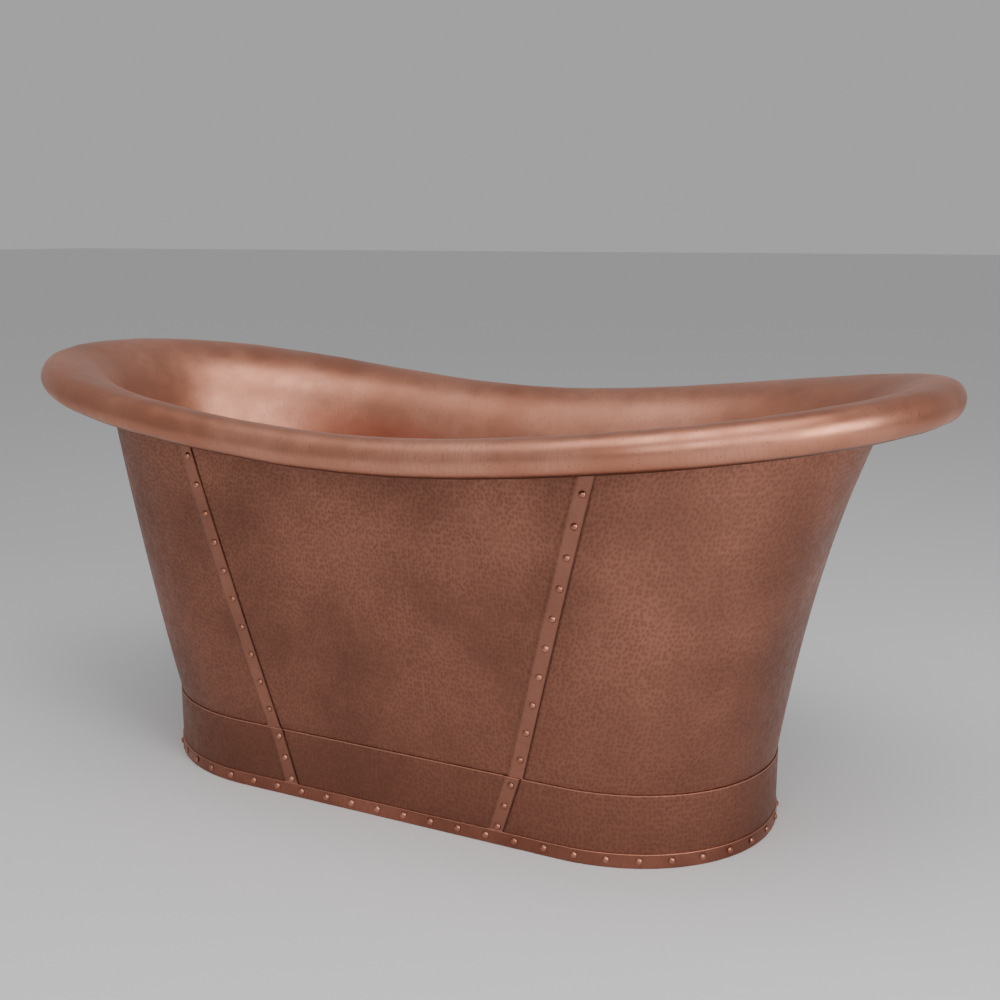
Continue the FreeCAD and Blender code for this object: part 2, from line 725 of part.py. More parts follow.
def overflow_knob():
    """Round knob with six finger scallops."""
    body = turned_piece([(0, 8.0), (KNOB_RADIUS - 1.5, 8.0), (KNOB_RADIUS, 9.5), (KNOB_RADIUS, 19.0),
                         (KNOB_RADIUS - 4, 23.0), (0, 24.0)])
    for scallop in range(6):
        cutter = Part.makeCylinder(7.0, 30.0, Vector(KNOB_RADIUS + 3.2, 0, 5.0))
        cutter.rotate(Vector(), UP, 60 * scallop + 30)
        body = body.cut(cutter)
    return body.cut(Part.makeCylinder(SPINDLE_RADIUS, 12.0, Vector(0, 0, 7.0)))


def overflow_cam():
    """Crank on the spindle's inner end that pulls the lift cable."""
    hub = Part.makeCylinder(8.0, 4.0, Vector(0, 0, -27.5))
    arm = box((0, 14.0), (-3.5, 3.5), (-27.5, -23.5))
    eye = Part.makeCylinder(4.5, 4.0, Vector(14.0, 0, -27.5))
    body = hub.fuse([arm, eye])
    return body.cut(Part.makeCylinder(SPINDLE_RADIUS, 10.0, Vector(0, 0, -30.0)))


def pipe_path(top, climb, port_reach):
    """Route of the overflow pipe: out of the waste, up between the skins, into the overflow."""
    corner = Vector(0, -226.0, PORT_HEIGHT)
    start = Vector(0, -port_reach, PORT_HEIGHT)
    lead_in = top - climb * 60.0
    return [start, corner, lead_in, top]


def rounded_wire(points, radii):
    """Straight runs joined by tangent arcs of the given radii."""
    edges = []
    at = points[0]
    for number in range(1, len(points) - 1):
        corner = points[number]
        back = (points[number - 1] - corner).normalize()
        on = (points[number + 1] - corner).normalize()
        half_turn = back.getAngle(on) / 2
        tangent = radii[number - 1] / math.tan(half_turn)
        first, last = corner + back * tangent, corner + on * tangent
        bisector = (back + on).normalize()
        middle = corner + bisector * (radii[number - 1] / math.sin(half_turn) - radii[number - 1])
        edges.append(Part.LineSegment(at, first).toShape())
        edges.append(Part.Arc(first, middle, last).toShape())
        at = last
    edges.append(Part.LineSegment(at, points[-1]).toShape())
    return Part.Wire(edges)


def swept(path, radius):
    start = path.Edges[0]
    direction = start.tangentAt(start.FirstParameter)
    circle = Part.Wire(Part.makeCircle(radius, start.valueAt(start.FirstParameter), direction))
    return path.makePipeShell([circle], True, False)


# ---- assembly -----------------------------------------------------------
def seam_nodes():
    """Skirt, plinth and trim sheets with their rivets."""
    skirt_seats = skirt_rivet_seats()
    plinth_seats = plinth_rivet_seats()
    trim_seats = trim_rivet_seats()
    skirt_grip = 2 * SHEET + 0.2
    plinth_grip = 2 * SHEET + 0.2
    trim_grip = TRIM_PROUD + SHEET + 0.25 + BASE_RING_THICKNESS + TRIM_RIVET_LIFT
    skirt_holes = Part.makeCompound(both_sides(shank_holes(skirt_seats, skirt_grip)))
    plinth_holes = Part.makeCompound(both_sides(shank_holes(plinth_seats, plinth_grip)))
    trim_holes = Part.makeCompound(shank_holes(trim_seats, trim_grip))

    front, right = [panel.cut(skirt_holes) for panel in skirt_panels()]
    plinth_front, plinth_right = [panel.cut(plinth_holes).cut(trim_holes) for panel in plinth_panels()]
    band = hoop(base_oval, 0.05, TRIM_PROUD, 0.5, TRIM_HEIGHT)
    skirt_rivet = rivet(skirt_grip, RIVET_HEAD_RADIUS)
    plinth_rivet = rivet(plinth_grip, RIVET_HEAD_RADIUS)
    trim_rivet = rivet(trim_grip, RIVET_HEAD_RADIUS)
    return {
        "skirt_panel_front": front,
        "skirt_panel_right": right,
        "skirt_panel_back": turned(front),
        "skirt_panel_left": turned(right),
        "plinth_panel_front": plinth_front,
        "plinth_panel_right": plinth_right,
        "plinth_panel_back": turned(plinth_front),
        "plinth_panel_left": turned(plinth_right),
        "trim_band": band.cut(trim_holes),
        "base_ring": base_ring().cut(trim_holes),
        "skirt_rivets": both_sides([placed(skirt_rivet, seat) for seat in skirt_seats]),
        "plinth_rivets": both_sides([placed(plinth_rivet, seat) for seat in plinth_seats]),
        "trim_rivets": [placed(trim_rivet, seat) for seat in trim_seats],
    }


def frame_nodes():
    holes = Part.makeCompound(bolt_holes())
    return {
        "cradle_left": cradle(-CRADLE_X).cut(holes),
        "cradle_right": cradle(CRADLE_X).cut(holes),
        "tie_bars": [bar.cut(holes) for bar in tie_bars()],
        "tie_bolts": tie_bolts(),
        "bearer_pads": bearer_pads(),
        "foot_pads": foot_pads(),
    }


def waste_nodes():
    nut = hexagon_nut(54.0, 19.4, 48.5, 66.0).cut(Part.makeCylinder(22.6, 14.5, Vector(0, 0, 52.0)))
    neck = tube(TAILPIECE_NECK_RADIUS, 17.6, 46.0, 74.0)
    stem_top = FLANGE_TOP + 1.7
    return {
        "waste_flange": waste_flange(),
        "waste_washer_upper": tube(33.0, BARREL_RADIUS + 0.3, WASTE_FLOOR + 0.7, FLANGE_BOTTOM - 0.05),
        "waste_washer_lower": tube(35.0, BARREL_RADIUS + 0.3, 130.1, WASTE_FLOOR - SHEET - 0.1),
        "waste_body": waste_body(),
        "waste_tailpiece": tube(TAILPIECE_RADIUS, 17.6, 6.0, 46.0).fuse(neck),
        "tailpiece_washer": tube(22.4, TAILPIECE_RADIUS + 0.1, 52.1, 55.9),
        "tailpiece_nut": nut,
        "plug": plug(),
        "plug_seal": tube(28.0, 22.0, FLANGE_TOP + 0.1, FLANGE_TOP + 1.6),
        "plug_stem": Part.makeCylinder(STEM_RADIUS, stem_top - 96.0, Vector(0, 0, 96.0)),
        "plug_yoke": Part.makeCylinder(9.0, 8.0, Vector(0, 0, 88.0)),
    }


def overflow_nodes(grid):
    place, inward, climb = overflow_frame(grid)
    stand = FreeCAD.Placement(place, FreeCAD.Rotation(Vector(-1, 0, 0), climb, inward, "ZYX"))
    washer_far = 43.7
    middle = Vector(0, 0, -19.0)
    down = Vector(0, -1, 0)

    def ring_below(outer, inner, start, length):
        ring = across(outer, start, length, middle, down)
        return ring.cut(across(inner, start - 1, length + 2, middle, down))

    def nut_along(point, direction):
        body = hexagon_nut(29.0, PIPE_RADIUS + 0.1, 0, 12.0)
        body.Placement = FreeCAD.Placement(point, FreeCAD.Rotation(UP, direction))
        return body

    screw = turned_piece([(0, 17.0), (2.5, 17.0), (2.5, 24.1), (5.0, 24.1),
                          (5.0, 25.2), (3.5, 26.6), (0, 26.6)])
    local = {
        "overflow_faceplate": overflow_flange(),
        "overflow_washer_inner": tube(30.0, 22.2, 0.8, 3.1),
        "overflow_washer_outer": tube(27.0, 21.0, -6.1, -2.6),
        "overflow_body": overflow_body(),
        "overflow_knob": overflow_knob().cut(Part.makeCylinder(2.6, 10.0, Vector(0, 0, 16.9))),
        "knob_spindle": Part.makeCylinder(SPINDLE_RADIUS, 46.0, Vector(0, 0, -29.0)),
        "knob_screw": screw,
        "lift_crank": overflow_cam(),
    }
    nodes = {}
    for name, shape in local.items():
        shape.Placement = stand
        nodes[name] = shape

    top = stand.multVec(Vector(0, -29.0, -19.0))
    path = rounded_wire(pipe_path(top, climb, PORT_END - 19.0), (40.0, 500.0))
    pipe = swept(path, PIPE_RADIUS).cut(swept(path, PIPE_BORE))
    cable_top = stand.multVec(Vector(0, -12.0, -19.0))
    cable_route = pipe_path(top, climb, 12.0)[:-1] + [cable_top]
    cable_path = rounded_wire(cable_route, (40.0, 500.0))
    print("overflow pipe length", path.Length, "lift cable length", cable_path.Length)
    near = Vector(0, -1, 0)
    low_washer = Part.makeCylinder(15.0, 1.6, Vector(0, -PORT_END - 0.1, PORT_HEIGHT), near)
    low_washer = low_washer.cut(across(PIPE_RADIUS + 0.1, 40.0, 30.0, Vector(0, 0, PORT_HEIGHT), near))
    high_washer = ring_below(14.0, PIPE_RADIUS + 0.1, 42.1, 1.6)
    high_washer.Placement = stand
    nodes["overflow_pipe"] = pipe
    nodes["lift_cable"] = swept(cable_path, 2.0)
    nodes["pipe_washers"] = [low_washer, high_washer]
    nodes["pipe_nuts"] = [nut_along(Vector(0, -PORT_END - 1.8, PORT_HEIGHT), near),
                          nut_along(stand.multVec(Vector(0, -washer_far - 0.1, -19.0)), climb * -1)]
    hole = Part.makeCylinder(OVERFLOW_HOLE_RADIUS, 30.0, Vector(0, 0, -15.0))
    hole.Placement = stand
    return nodes, hole


def build():
    grid = basin_grid()
    nodes, overflow_hole = overflow_nodes(grid)
    basin = sheet_body(grid, moved_along_normals(grid, SHEET))
    nodes["basin"] = basin.cut(overflow_hole)
    nodes.update(seam_nodes())
    nodes.update(frame_nodes())
    nodes.update(waste_nodes())
    os.makedirs("parts", exist_ok=True)
    for name in sorted(nodes):
        shape = nodes[name]
        if isinstance(shape, list):
            shape = Part.makeCompound(shape)
        elif len(shape.Solids) == 1:
            shape = shape.Solids[0]
        shape.exportStep("parts/%s.step" % name)
        size = shape.Volume / 1000
        print("%-24s %2d solid(s) %10.1f cm3 %s" % (name, len(shape.Solids), size, shape.isValid()))


build()
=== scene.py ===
import json
import math

import bpy
import numpy as np
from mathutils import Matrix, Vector


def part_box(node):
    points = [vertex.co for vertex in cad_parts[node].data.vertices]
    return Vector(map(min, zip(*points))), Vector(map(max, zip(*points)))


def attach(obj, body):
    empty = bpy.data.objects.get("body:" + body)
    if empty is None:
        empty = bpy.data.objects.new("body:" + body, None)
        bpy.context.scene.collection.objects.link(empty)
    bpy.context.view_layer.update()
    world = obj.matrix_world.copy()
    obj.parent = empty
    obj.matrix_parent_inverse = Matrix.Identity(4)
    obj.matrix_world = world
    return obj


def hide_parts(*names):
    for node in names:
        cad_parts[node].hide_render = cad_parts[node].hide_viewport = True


# Looks of the freestanding copper bathtub, in metres: +Z up, X along the tub, -Y the near side.
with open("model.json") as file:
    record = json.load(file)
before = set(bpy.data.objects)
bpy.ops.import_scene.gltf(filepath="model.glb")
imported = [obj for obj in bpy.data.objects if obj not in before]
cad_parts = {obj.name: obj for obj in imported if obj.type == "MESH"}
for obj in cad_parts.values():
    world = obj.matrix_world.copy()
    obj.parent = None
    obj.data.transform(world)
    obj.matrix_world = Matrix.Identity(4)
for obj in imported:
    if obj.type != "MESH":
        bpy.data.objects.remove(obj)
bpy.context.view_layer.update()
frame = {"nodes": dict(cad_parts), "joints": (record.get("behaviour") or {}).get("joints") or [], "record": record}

# ---- driving dimensions -------------------------------------------------
MM = 0.001
SHEET = 1.5 * MM
ROLL_RADIUS = 28 * MM
RIM_HALF_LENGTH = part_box("basin")[1].x - ROLL_RADIUS
RIM_HALF_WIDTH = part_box("basin")[1].y - ROLL_RADIUS
RIM_END_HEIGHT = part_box("basin")[1].z - ROLL_RADIUS
SADDLE_DROP = 87.1 * MM
RIM_MIDDLE_HEIGHT = RIM_END_HEIGHT - SADDLE_DROP
RIM_STRAIGHT = 110 * MM
RIM_POWER_X = 3.9
RIM_POWER_Y = 1.96
RIM_SADDLE = 2.31

TRIM_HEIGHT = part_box("trim_band")[1].z
TRIM_PROUD = 2 * MM
TRIM_GAP = 0.05 * MM             # air between the band and the plinth
BASE_HALF_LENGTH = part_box("trim_band")[1].x - TRIM_PROUD
BASE_HALF_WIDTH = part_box("trim_band")[1].y - TRIM_PROUD
BASE_STRAIGHT = 308.4 * MM
BASE_POWER = 2.04
PLINTH_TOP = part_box("plinth_panel_front")[1].z
PLINTH_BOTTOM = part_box("plinth_panel_front")[0].z
SKIRT_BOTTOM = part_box("skirt_panel_front")[0].z
SKIRT_INSET = 2 * MM
SKIRT_TUCK = 16 * MM
LIP_GAP = 1.2 * MM
LIP_BELOW = 6 * MM
LIP_LOWEST = 600 * MM            # the lip lies between these heights all the way round
LIP_HIGHEST = 740 * MM
ROLL_REACH = 18 * MM             # how far the roll's underside runs on, before it turns to the lip
LIP_REACH = 15 * MM
FLARE_SPAN = 585.2 * MM          # height over which the flare is described
FLARE_AT_END = (74.6 * MM, 41.1 * MM, 35.3 * MM)
FLARE_AT_SIDE = (67.5 * MM, -11.2 * MM)
FLARE_POWER = (1.55, -1.65)      # how the oval's power changes over the flare
STRAIGHT_LOSS = 18 * MM
WALL_TABLE_TOP = 765 * MM        # above every point of the skirt

LAP_WIDTH = 24 * MM
LAP_JOIN = 3 * MM
LAP_RAMP = 4 * MM
LAP_TOP_DROP = 14 * MM           # the lap strip ends this far under the skirt's top edge
SEAM_X_LOW = 244 * MM
SEAM_SLOPE = 0.2636
SEAM_Z_LOW = 154.6 * MM
SEAM_PITCH = 49.7 * MM
SEAM_RIVETS = 10
PLINTH_SEAM_X_LOW = 203 * MM
PLINTH_SEAM_SLOPE = 0.314
PLINTH_SEAM_Z_LOW = 32 * MM
PLINTH_SEAM_PITCH = 37.6 * MM
PLINTH_SEAM_RIVETS = 3
TRIM_RIVETS = 56
TRIM_RIVET_HEIGHT = 13.1 * MM
RIVET_RADIUS = 6 * MM
RIVET_HEIGHT = 4 * MM
RIVET_FOOT = 0.5 * MM            # straight foot of the head, under its dome
RIVET_SHANK = 2.4 * MM
RIVET_TAIL = 4 * MM
RIVET_TAIL_HEIGHT = 1.2 * MM
LAP_GAP = 0.2 * MM               # air between the sheets that a rivet holds

FLOOR_HALF_LENGTH = 450 * MM
FLOOR_HALF_WIDTH = 150 * MM
FLOOR_HEIGHT = 142 * MM
FLOOR_PITCH = 6 * MM
WASTE_RADIUS = 24 * MM
OVERFLOW_RADIUS = 22 * MM
WALL_HALF_LENGTH = 676 * MM
WALL_HALF_WIDTH = 252 * MM
WALL_STRAIGHT = 230 * MM
WALL_POWER = 2.2
SHOULDER_DEPTH = 120 * MM
LEAN_AT_SIDE, LEAN_AT_END = 0.18, 0.36
HEEL_AT_SIDE, HEEL_AT_END = 0.72, 0.42

DENT_DEPTH = 0.32 * MM
DENT_WIDTH = 6.4 * MM
DENT_TALL = 7.8 * MM
PANEL_GRID = 2.6 * MM            # spacing of a hammered panel's grid lines

LENS = 45.86
SENSOR = 36.0
EYE = (1.067, -1.9496, 0.9704)
LOOKS_DOWN = 11.85               # degrees
LOOKS_LEFT = 26.84


# ---- ovals --------------------------------------------------------------
def evenly(points, count):
    """count points at equal distances along a polyline in plan."""
    steps = np.hypot(*np.diff(points, axis=0).T)
    reach = np.concatenate(([0], np.cumsum(steps)))
    wanted = np.linspace(0, reach[-1], count)
    return np.stack([np.interp(wanted, reach, points[:, axis]) for axis in (0, 1)], axis=-1)


def half_oval(half_length, half_width, straight, power_x, power_y, count):
    """Right half of an oval in plan, from the front middle round the end to the back middle."""
    turn = np.linspace(0, np.pi, 1441)
    run = np.clip(np.sin(turn), 0, None) ** (2 / power_x)
    side = np.sign(np.cos(turn)) * np.abs(np.cos(turn)) ** (2 / power_y)
    x = np.concatenate(([0], straight + (half_length - straight) * run, [0]))
    y = np.concatenate(([-half_width], -half_width * side, [half_width]))
    return evenly(np.stack((x, y), axis=-1), count)


def whole(half):
    """Closed loop from a half oval; its first point comes again at the end."""
    return np.concatenate((half, (half[::-1] * (-1, 1))[1:]))


def outward(loop):
    """Plan normals of a closed loop that runs anticlockwise."""
    along = np.roll(loop[:-1], -1, axis=0) - np.roll(loop[:-1], 1, axis=0)
    along /= np.linalg.norm(along, axis=1, keepdims=True)
    normal = np.stack((along[:, 1], -along[:, 0]), axis=-1)
    return np.concatenate((normal, normal[:1]))


def saddle(x):
    """Height of the rolled rim's centre line at a distance x from the middle."""
    rise = np.sqrt(1 + (RIM_SADDLE * x / RIM_HALF_LENGTH) ** 2) - 1
    full = math.sqrt(1 + RIM_SADDLE ** 2) - 1
    return RIM_MIDDLE_HEIGHT + (RIM_END_HEIGHT - RIM_MIDDLE_HEIGHT) * rise / full


def skirt_top(x):
    """Height of the skirt's top edge, tucked under the rolled rim, which reaches further out."""
    return saddle(x * 1.1) - SKIRT_TUCK


def flare(u, parts):
    """Growth at a share u of the flare's height: a polynomial with no constant part."""
    return sum(part * u ** (number + 1) for number, part in enumerate(parts))


def base_half(count):
    return half_oval(BASE_HALF_LENGTH, BASE_HALF_WIDTH, BASE_STRAIGHT, BASE_POWER, BASE_POWER, count)


def skirt_half(height, count):
    """Half of the skirt's outer face at a height, flaring like a trumpet at the ends."""
    u = (height - PLINTH_TOP) / FLARE_SPAN
    half_length = BASE_HALF_LENGTH - SKIRT_INSET + flare(u, FLARE_AT_END)
    half_width = BASE_HALF_WIDTH - SKIRT_INSET + flare(u, FLARE_AT_SIDE)
    straight = BASE_STRAIGHT - STRAIGHT_LOSS * u
    power = BASE_POWER + flare(u, FLARE_POWER)
    return half_oval(half_length, half_width, straight, power, power, count)


def seam_x(height):
    """Distance of a skirt seam from the middle of the tub."""
    return SEAM_X_LOW + SEAM_SLOPE * (height - SEAM_Z_LOW)


def plinth_seam_x(height):
    return PLINTH_SEAM_X_LOW + PLINTH_SEAM_SLOPE * (height - PLINTH_SEAM_Z_LOW)


class Wall:
    """Upright wall round the tub. A turn is a share of the way round, from the front middle to the right."""

    def __init__(self, half_at, low, high, rows, count=1201):
        self.heights = np.linspace(low, high, rows)
        self.table = np.array([whole(half_at(height, count)) for height in self.heights])
        self.normals = np.array([outward(loop) for loop in self.table])
        self.turns = np.linspace(0, 1, 2 * count - 1)
        steps = np.diff(self.table, axis=1)
        self.girth = np.hypot(steps[..., 0], steps[..., 1]).sum(axis=1)

    def read(self, table, height, turn):
        """Values of a table between its rows and columns, at any heights and turns."""
        rows, columns = table.shape[:2]
        low, high = self.heights[0], self.heights[-1]
        row = np.clip((height - low) / (high - low), 0, 1) * (rows - 1)
        column = (turn % 1.0) * (columns - 1)
        r = np.minimum(row.astype(int), rows - 2)
        c = np.minimum(column.astype(int), columns - 2)
        down, across = (row - r)[..., None], (column - c)[..., None]
        lower = table[r, c] * (1 - across) + table[r, c + 1] * across
        upper = table[r + 1, c] * (1 - across) + table[r + 1, c + 1] * across
        return lower * (1 - down) + upper * down

    def at(self, height, turn):
        return self.read(self.table, height, turn)

    def normal(self, height, turn):
        return self.read(self.normals, height, turn)

    def turn_of(self, height, x_at):
        """Turn at which a line that leans up the near side passes each height."""
        quarter = len(self.turns) // 4
        turns = [np.interp(x_at(level), loop[:quarter, 0], self.turns[:quarter])
                 for level, loop in zip(self.heights, self.table)]
        return np.interp(height, self.heights, turns)

    def length(self, height):
        return np.interp(height, self.heights, self.girth)


# ---- meshes -------------------------------------------------------------
def smooth_step(low, high, value):
    share = np.clip((value - low) / (high - low), 0, 1)
    return share * share * (3 - 2 * share)


def face_normals(grid, closed):
    """Unit normals of a grid of points; columns run anticlockwise and rows run upward."""
    if closed:
        along = np.roll(grid, -1, axis=1) - np.roll(grid, 1, axis=1)
    else:
        along = np.gradient(grid, axis=1)
    normal = np.cross(along, np.gradient(grid, axis=0))
    return normal / np.linalg.norm(normal, axis=2, keepdims=True)


def grid_faces(rows, columns, closed=False):
    wide = columns if closed else columns - 1
    row = np.arange(rows - 1)[:, None] * columns
    left = np.arange(wide)[None, :]
    right = (left + 1) % columns
    corners = (row + left, row + right, row + columns + right, row + columns + left)
    return np.stack(corners, axis=-1).reshape(-1, 4)


def open_edges(faces):
    """Edges that only one of the faces has, in that face's direction."""
    edges = np.concatenate([faces[:, [side, (side + 1) % 4]] for side in range(4)])
    _, first, count = np.unique(np.sort(edges, axis=1), axis=0, return_index=True, return_counts=True)
    return edges[first[count == 1]]


def mesh_piece(name, points, faces, flat=None, marks=(), sharp_from=40):
    """A smooth-shaded object with its flat coordinates as a UV map and its marks as point attributes."""
    mesh = bpy.data.meshes.new(name)
    mesh.from_pydata(points.tolist(), [], faces)
    mesh.polygons.foreach_set("use_smooth", np.ones(len(mesh.polygons), bool))
    if flat is not None:
        corner = np.zeros(len(mesh.loops), np.int32)
        mesh.loops.foreach_get("vertex_index", corner)
        mesh.uv_layers.new(name="sheet").data.foreach_set("uv", flat[corner].astype(np.float32).ravel())
    for mark, values in dict(marks).items():
        layer = mesh.attributes.new(mark, "FLOAT", "POINT")
        layer.data.foreach_set("value", values.astype(np.float32))
    mesh.set_sharp_from_angle(angle=math.radians(sharp_from))
    piece = bpy.data.objects.new(name, mesh)
    bpy.context.scene.collection.objects.link(piece)
    return piece


def settle(piece, body, slot, material, *nodes):
    """Paints a piece, gives it its body, and lets it stand for CAD nodes."""
    piece.data.materials.clear()
    piece.data.materials.append(material)
    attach(piece, body)
    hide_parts(*nodes)


# ---- basin --------------------------------------------------------------
BASIN_HALF_COUNT = 211
WALL_ROWS, SHOULDER_ROWS, ROLL_ROWS, LIP_ROWS = 30, 22, 26, 8
FLOOR_SHARES = (0, 0.02, 0.05, 0.1, 0.16, 0.24, 0.34, 0.46, 0.6, 0.74, 0.88)


def bezier(first, second, third, fourth, share):
    rest = 1 - share
    return (first * rest ** 3 + second * 3 * rest ** 2 * share
            + third * 3 * rest * share ** 2 + fourth * share ** 3)


def lifted(loop, height):
    """Plan points of a closed loop, without its repeated end, at a height."""
    tall = np.broadcast_to(height, len(loop))
    return np.column_stack((loop, tall))[:-1]


def oval_loop(half_length, half_width, straight, power_x, power_y):
    return whole(half_oval(half_length, half_width, straight, power_x, power_y, BASIN_HALF_COUNT))


def lip_loop():
    """Where the rolled lip ends, just outside the skirt and a little under its top edge."""
    heights = np.linspace(LIP_LOWEST, LIP_HIGHEST, 29)
    loops = [whole(skirt_half(height, BASIN_HALF_COUNT)) for height in heights]
    table = np.array([loop + outward(loop) * LIP_GAP for loop in loops])
    stations = table.shape[1]
    height = np.full(stations, RIM_MIDDLE_HEIGHT)
    for _ in range(6):
        place = np.array([[np.interp(height[i], heights, table[:, i, axis]) for axis in (0, 1)]
                          for i in range(stations)])
        height = skirt_top(place[:, 0]) - LIP_BELOW
    return lifted(place, height)


def basin_grid():
    """Rows of points on the wet face, from the waste hole out to the lip."""
    up = np.array((0, 0, 1.0))
    hole = lifted(oval_loop(WASTE_RADIUS, WASTE_RADIUS, 0, 2, 2), FLOOR_HEIGHT - FLOOR_PITCH)
    edge = lifted(oval_loop(FLOOR_HALF_LENGTH, FLOOR_HALF_WIDTH, WALL_STRAIGHT, WALL_POWER, WALL_POWER),
                  FLOOR_HEIGHT)
    rim = oval_loop(RIM_HALF_LENGTH, RIM_HALF_WIDTH, RIM_STRAIGHT, RIM_POWER_X, RIM_POWER_Y)
    centre = lifted(rim, saddle(rim[:, 0]))
    out = lifted(outward(rim), 0)
    crest = centre + up * ROLL_RADIUS
    bottom = centre - up * ROLL_RADIUS
    wall_loop = oval_loop(WALL_HALF_LENGTH, WALL_HALF_WIDTH, WALL_STRAIGHT, WALL_POWER, WALL_POWER)
    wall = np.column_stack((wall_loop[:-1], crest[:, 2] - SHOULDER_DEPTH))
    endness = out[:, :1] ** 2
    rising = out * (LEAN_AT_SIDE + (LEAN_AT_END - LEAN_AT_SIDE) * endness) + up
    heel = HEEL_AT_SIDE + (HEEL_AT_END - HEEL_AT_SIDE) * endness
    across = (wall - edge) * (1, 1, 0)
    tall = wall[:, 2:] - edge[:, 2:]
    inward_run = np.linalg.norm((crest - wall)[:, :2], axis=1, keepdims=True)
    lip = lip_loop()
    rows = [hole + (edge - hole) * share for share in FLOOR_SHARES]
    for step in range(WALL_ROWS):
        rows.append(bezier(edge, edge + across * heel, wall - rising * tall / 2, wall, step / WALL_ROWS))
    for step in range(SHOULDER_ROWS):
        rows.append(bezier(wall, wall + rising * SHOULDER_DEPTH / 2, crest - out * inward_run / 2, crest,
                           step / SHOULDER_ROWS))
    for step in range(ROLL_ROWS):
        turn = math.pi / 2 - math.pi * step / ROLL_ROWS
        rows.append(centre + (out * math.cos(turn) + up * math.sin(turn)) * ROLL_RADIUS)
    for step in range(LIP_ROWS + 1):
        rows.append(bezier(bottom, bottom - out * ROLL_REACH, lip + out * LIP_REACH, lip, step / LIP_ROWS))
    return np.array(rows)


def unevenness(points, amplitude, wavelength, seed, waves=14):
    """Gentle hand-worked waves over a surface, as a height at each point."""
    dice = np.random.default_rng(seed)
    total = np.zeros(points.shape[:-1])
    for _ in range(waves):
        direction = dice.normal(size=3)
        direction /= np.linalg.norm(direction)
        length = wavelength * dice.uniform(0.6, 1.6)
        phase = dice.uniform(0, 2 * np.pi)
        total += np.sin(points @ direction * 2 * np.pi / length + phase)
    return total * amplitude / math.sqrt(waves / 2)


def overflow_hole(points, faces, axis_point, axis):
    """Faces left round the overflow's hole, and the points with the hole's edge drawn round."""
    def from_axis(places):
        offset = places - axis_point
        along = offset @ axis
        near = np.abs(along) < 20 * MM
        return offset - along[..., None] * axis, near

    offset, near = from_axis(points[faces].mean(axis=1))
    inside = near & (np.linalg.norm(offset, axis=1) < OVERFLOW_RADIUS)
    edge = np.intersect1d(faces[inside], faces[~inside])
    offset, _ = from_axis(points[edge])
    reach = np.linalg.norm(offset, axis=1, keepdims=True)
    points[edge] += offset * (OVERFLOW_RADIUS / reach - 1)
    return faces[~inside]


def shade_under_roll(rows, columns):
    """1 on the rolled rim's underside and its lip, where painted shade darkens the copper, 0 elsewhere."""
    shade = np.zeros((rows, columns))
    shade[-LIP_ROWS - 1:] = 1
    steps = np.arange(1, ROLL_ROWS + 1)
    facing_down = -np.sin(math.pi / 2 - math.pi * steps / ROLL_ROWS)
    first = rows - LIP_ROWS - 1 - ROLL_ROWS
    shade[first:first + ROLL_ROWS] = smooth_step(0.8, 0.97, facing_down)[:, None]
    return shade


def basin_piece():
    grid = basin_grid()
    normal = face_normals(grid, closed=True)
    grid = grid + normal * unevenness(grid, amplitude=0.22 * MM, wavelength=90 * MM, seed=3)[..., None]
    rows, columns = grid.shape[:2]
    up_steps = np.linalg.norm(np.diff(grid, axis=0), axis=2).mean(axis=1)
    along_profile = np.concatenate(([0], np.cumsum(up_steps)))
    girth = np.linalg.norm(np.diff(grid[-20], axis=0), axis=1).sum()
    flat = np.stack(np.meshgrid(np.arange(columns) / columns * girth, along_profile), axis=-1)
    points = grid.reshape(-1, 3)
    joint = next(joint for joint in frame["joints"] if joint["name"] == "knob_turn")
    axis = np.array(joint["axis"], float)
    faces = grid_faces(rows, columns, closed=True)
    faces = overflow_hole(points, faces, np.array(joint["pos_m"], float), axis / np.linalg.norm(axis))
    back = points - normal.reshape(-1, 3) * SHEET
    count = len(points)
    edges = open_edges(faces)
    sides = np.column_stack((edges[:, 1], edges[:, 0], edges[:, 0] + count, edges[:, 1] + count))
    all_faces = np.concatenate((faces, faces[:, ::-1] + count, sides))
    both = np.concatenate((flat.reshape(-1, 2), flat.reshape(-1, 2)))
    # painted shade on the roll's underside and the lip
    marks = {"painted_shade": np.tile(shade_under_roll(rows, columns).ravel(), 2)}
    return mesh_piece("basin_copper", np.concatenate((points, back)), all_faces.tolist(), both, marks)


# ---- hammered panels ----------------------------------------------------
BACK_STEP = 4                    # the hidden back of a panel needs fewer faces than its front


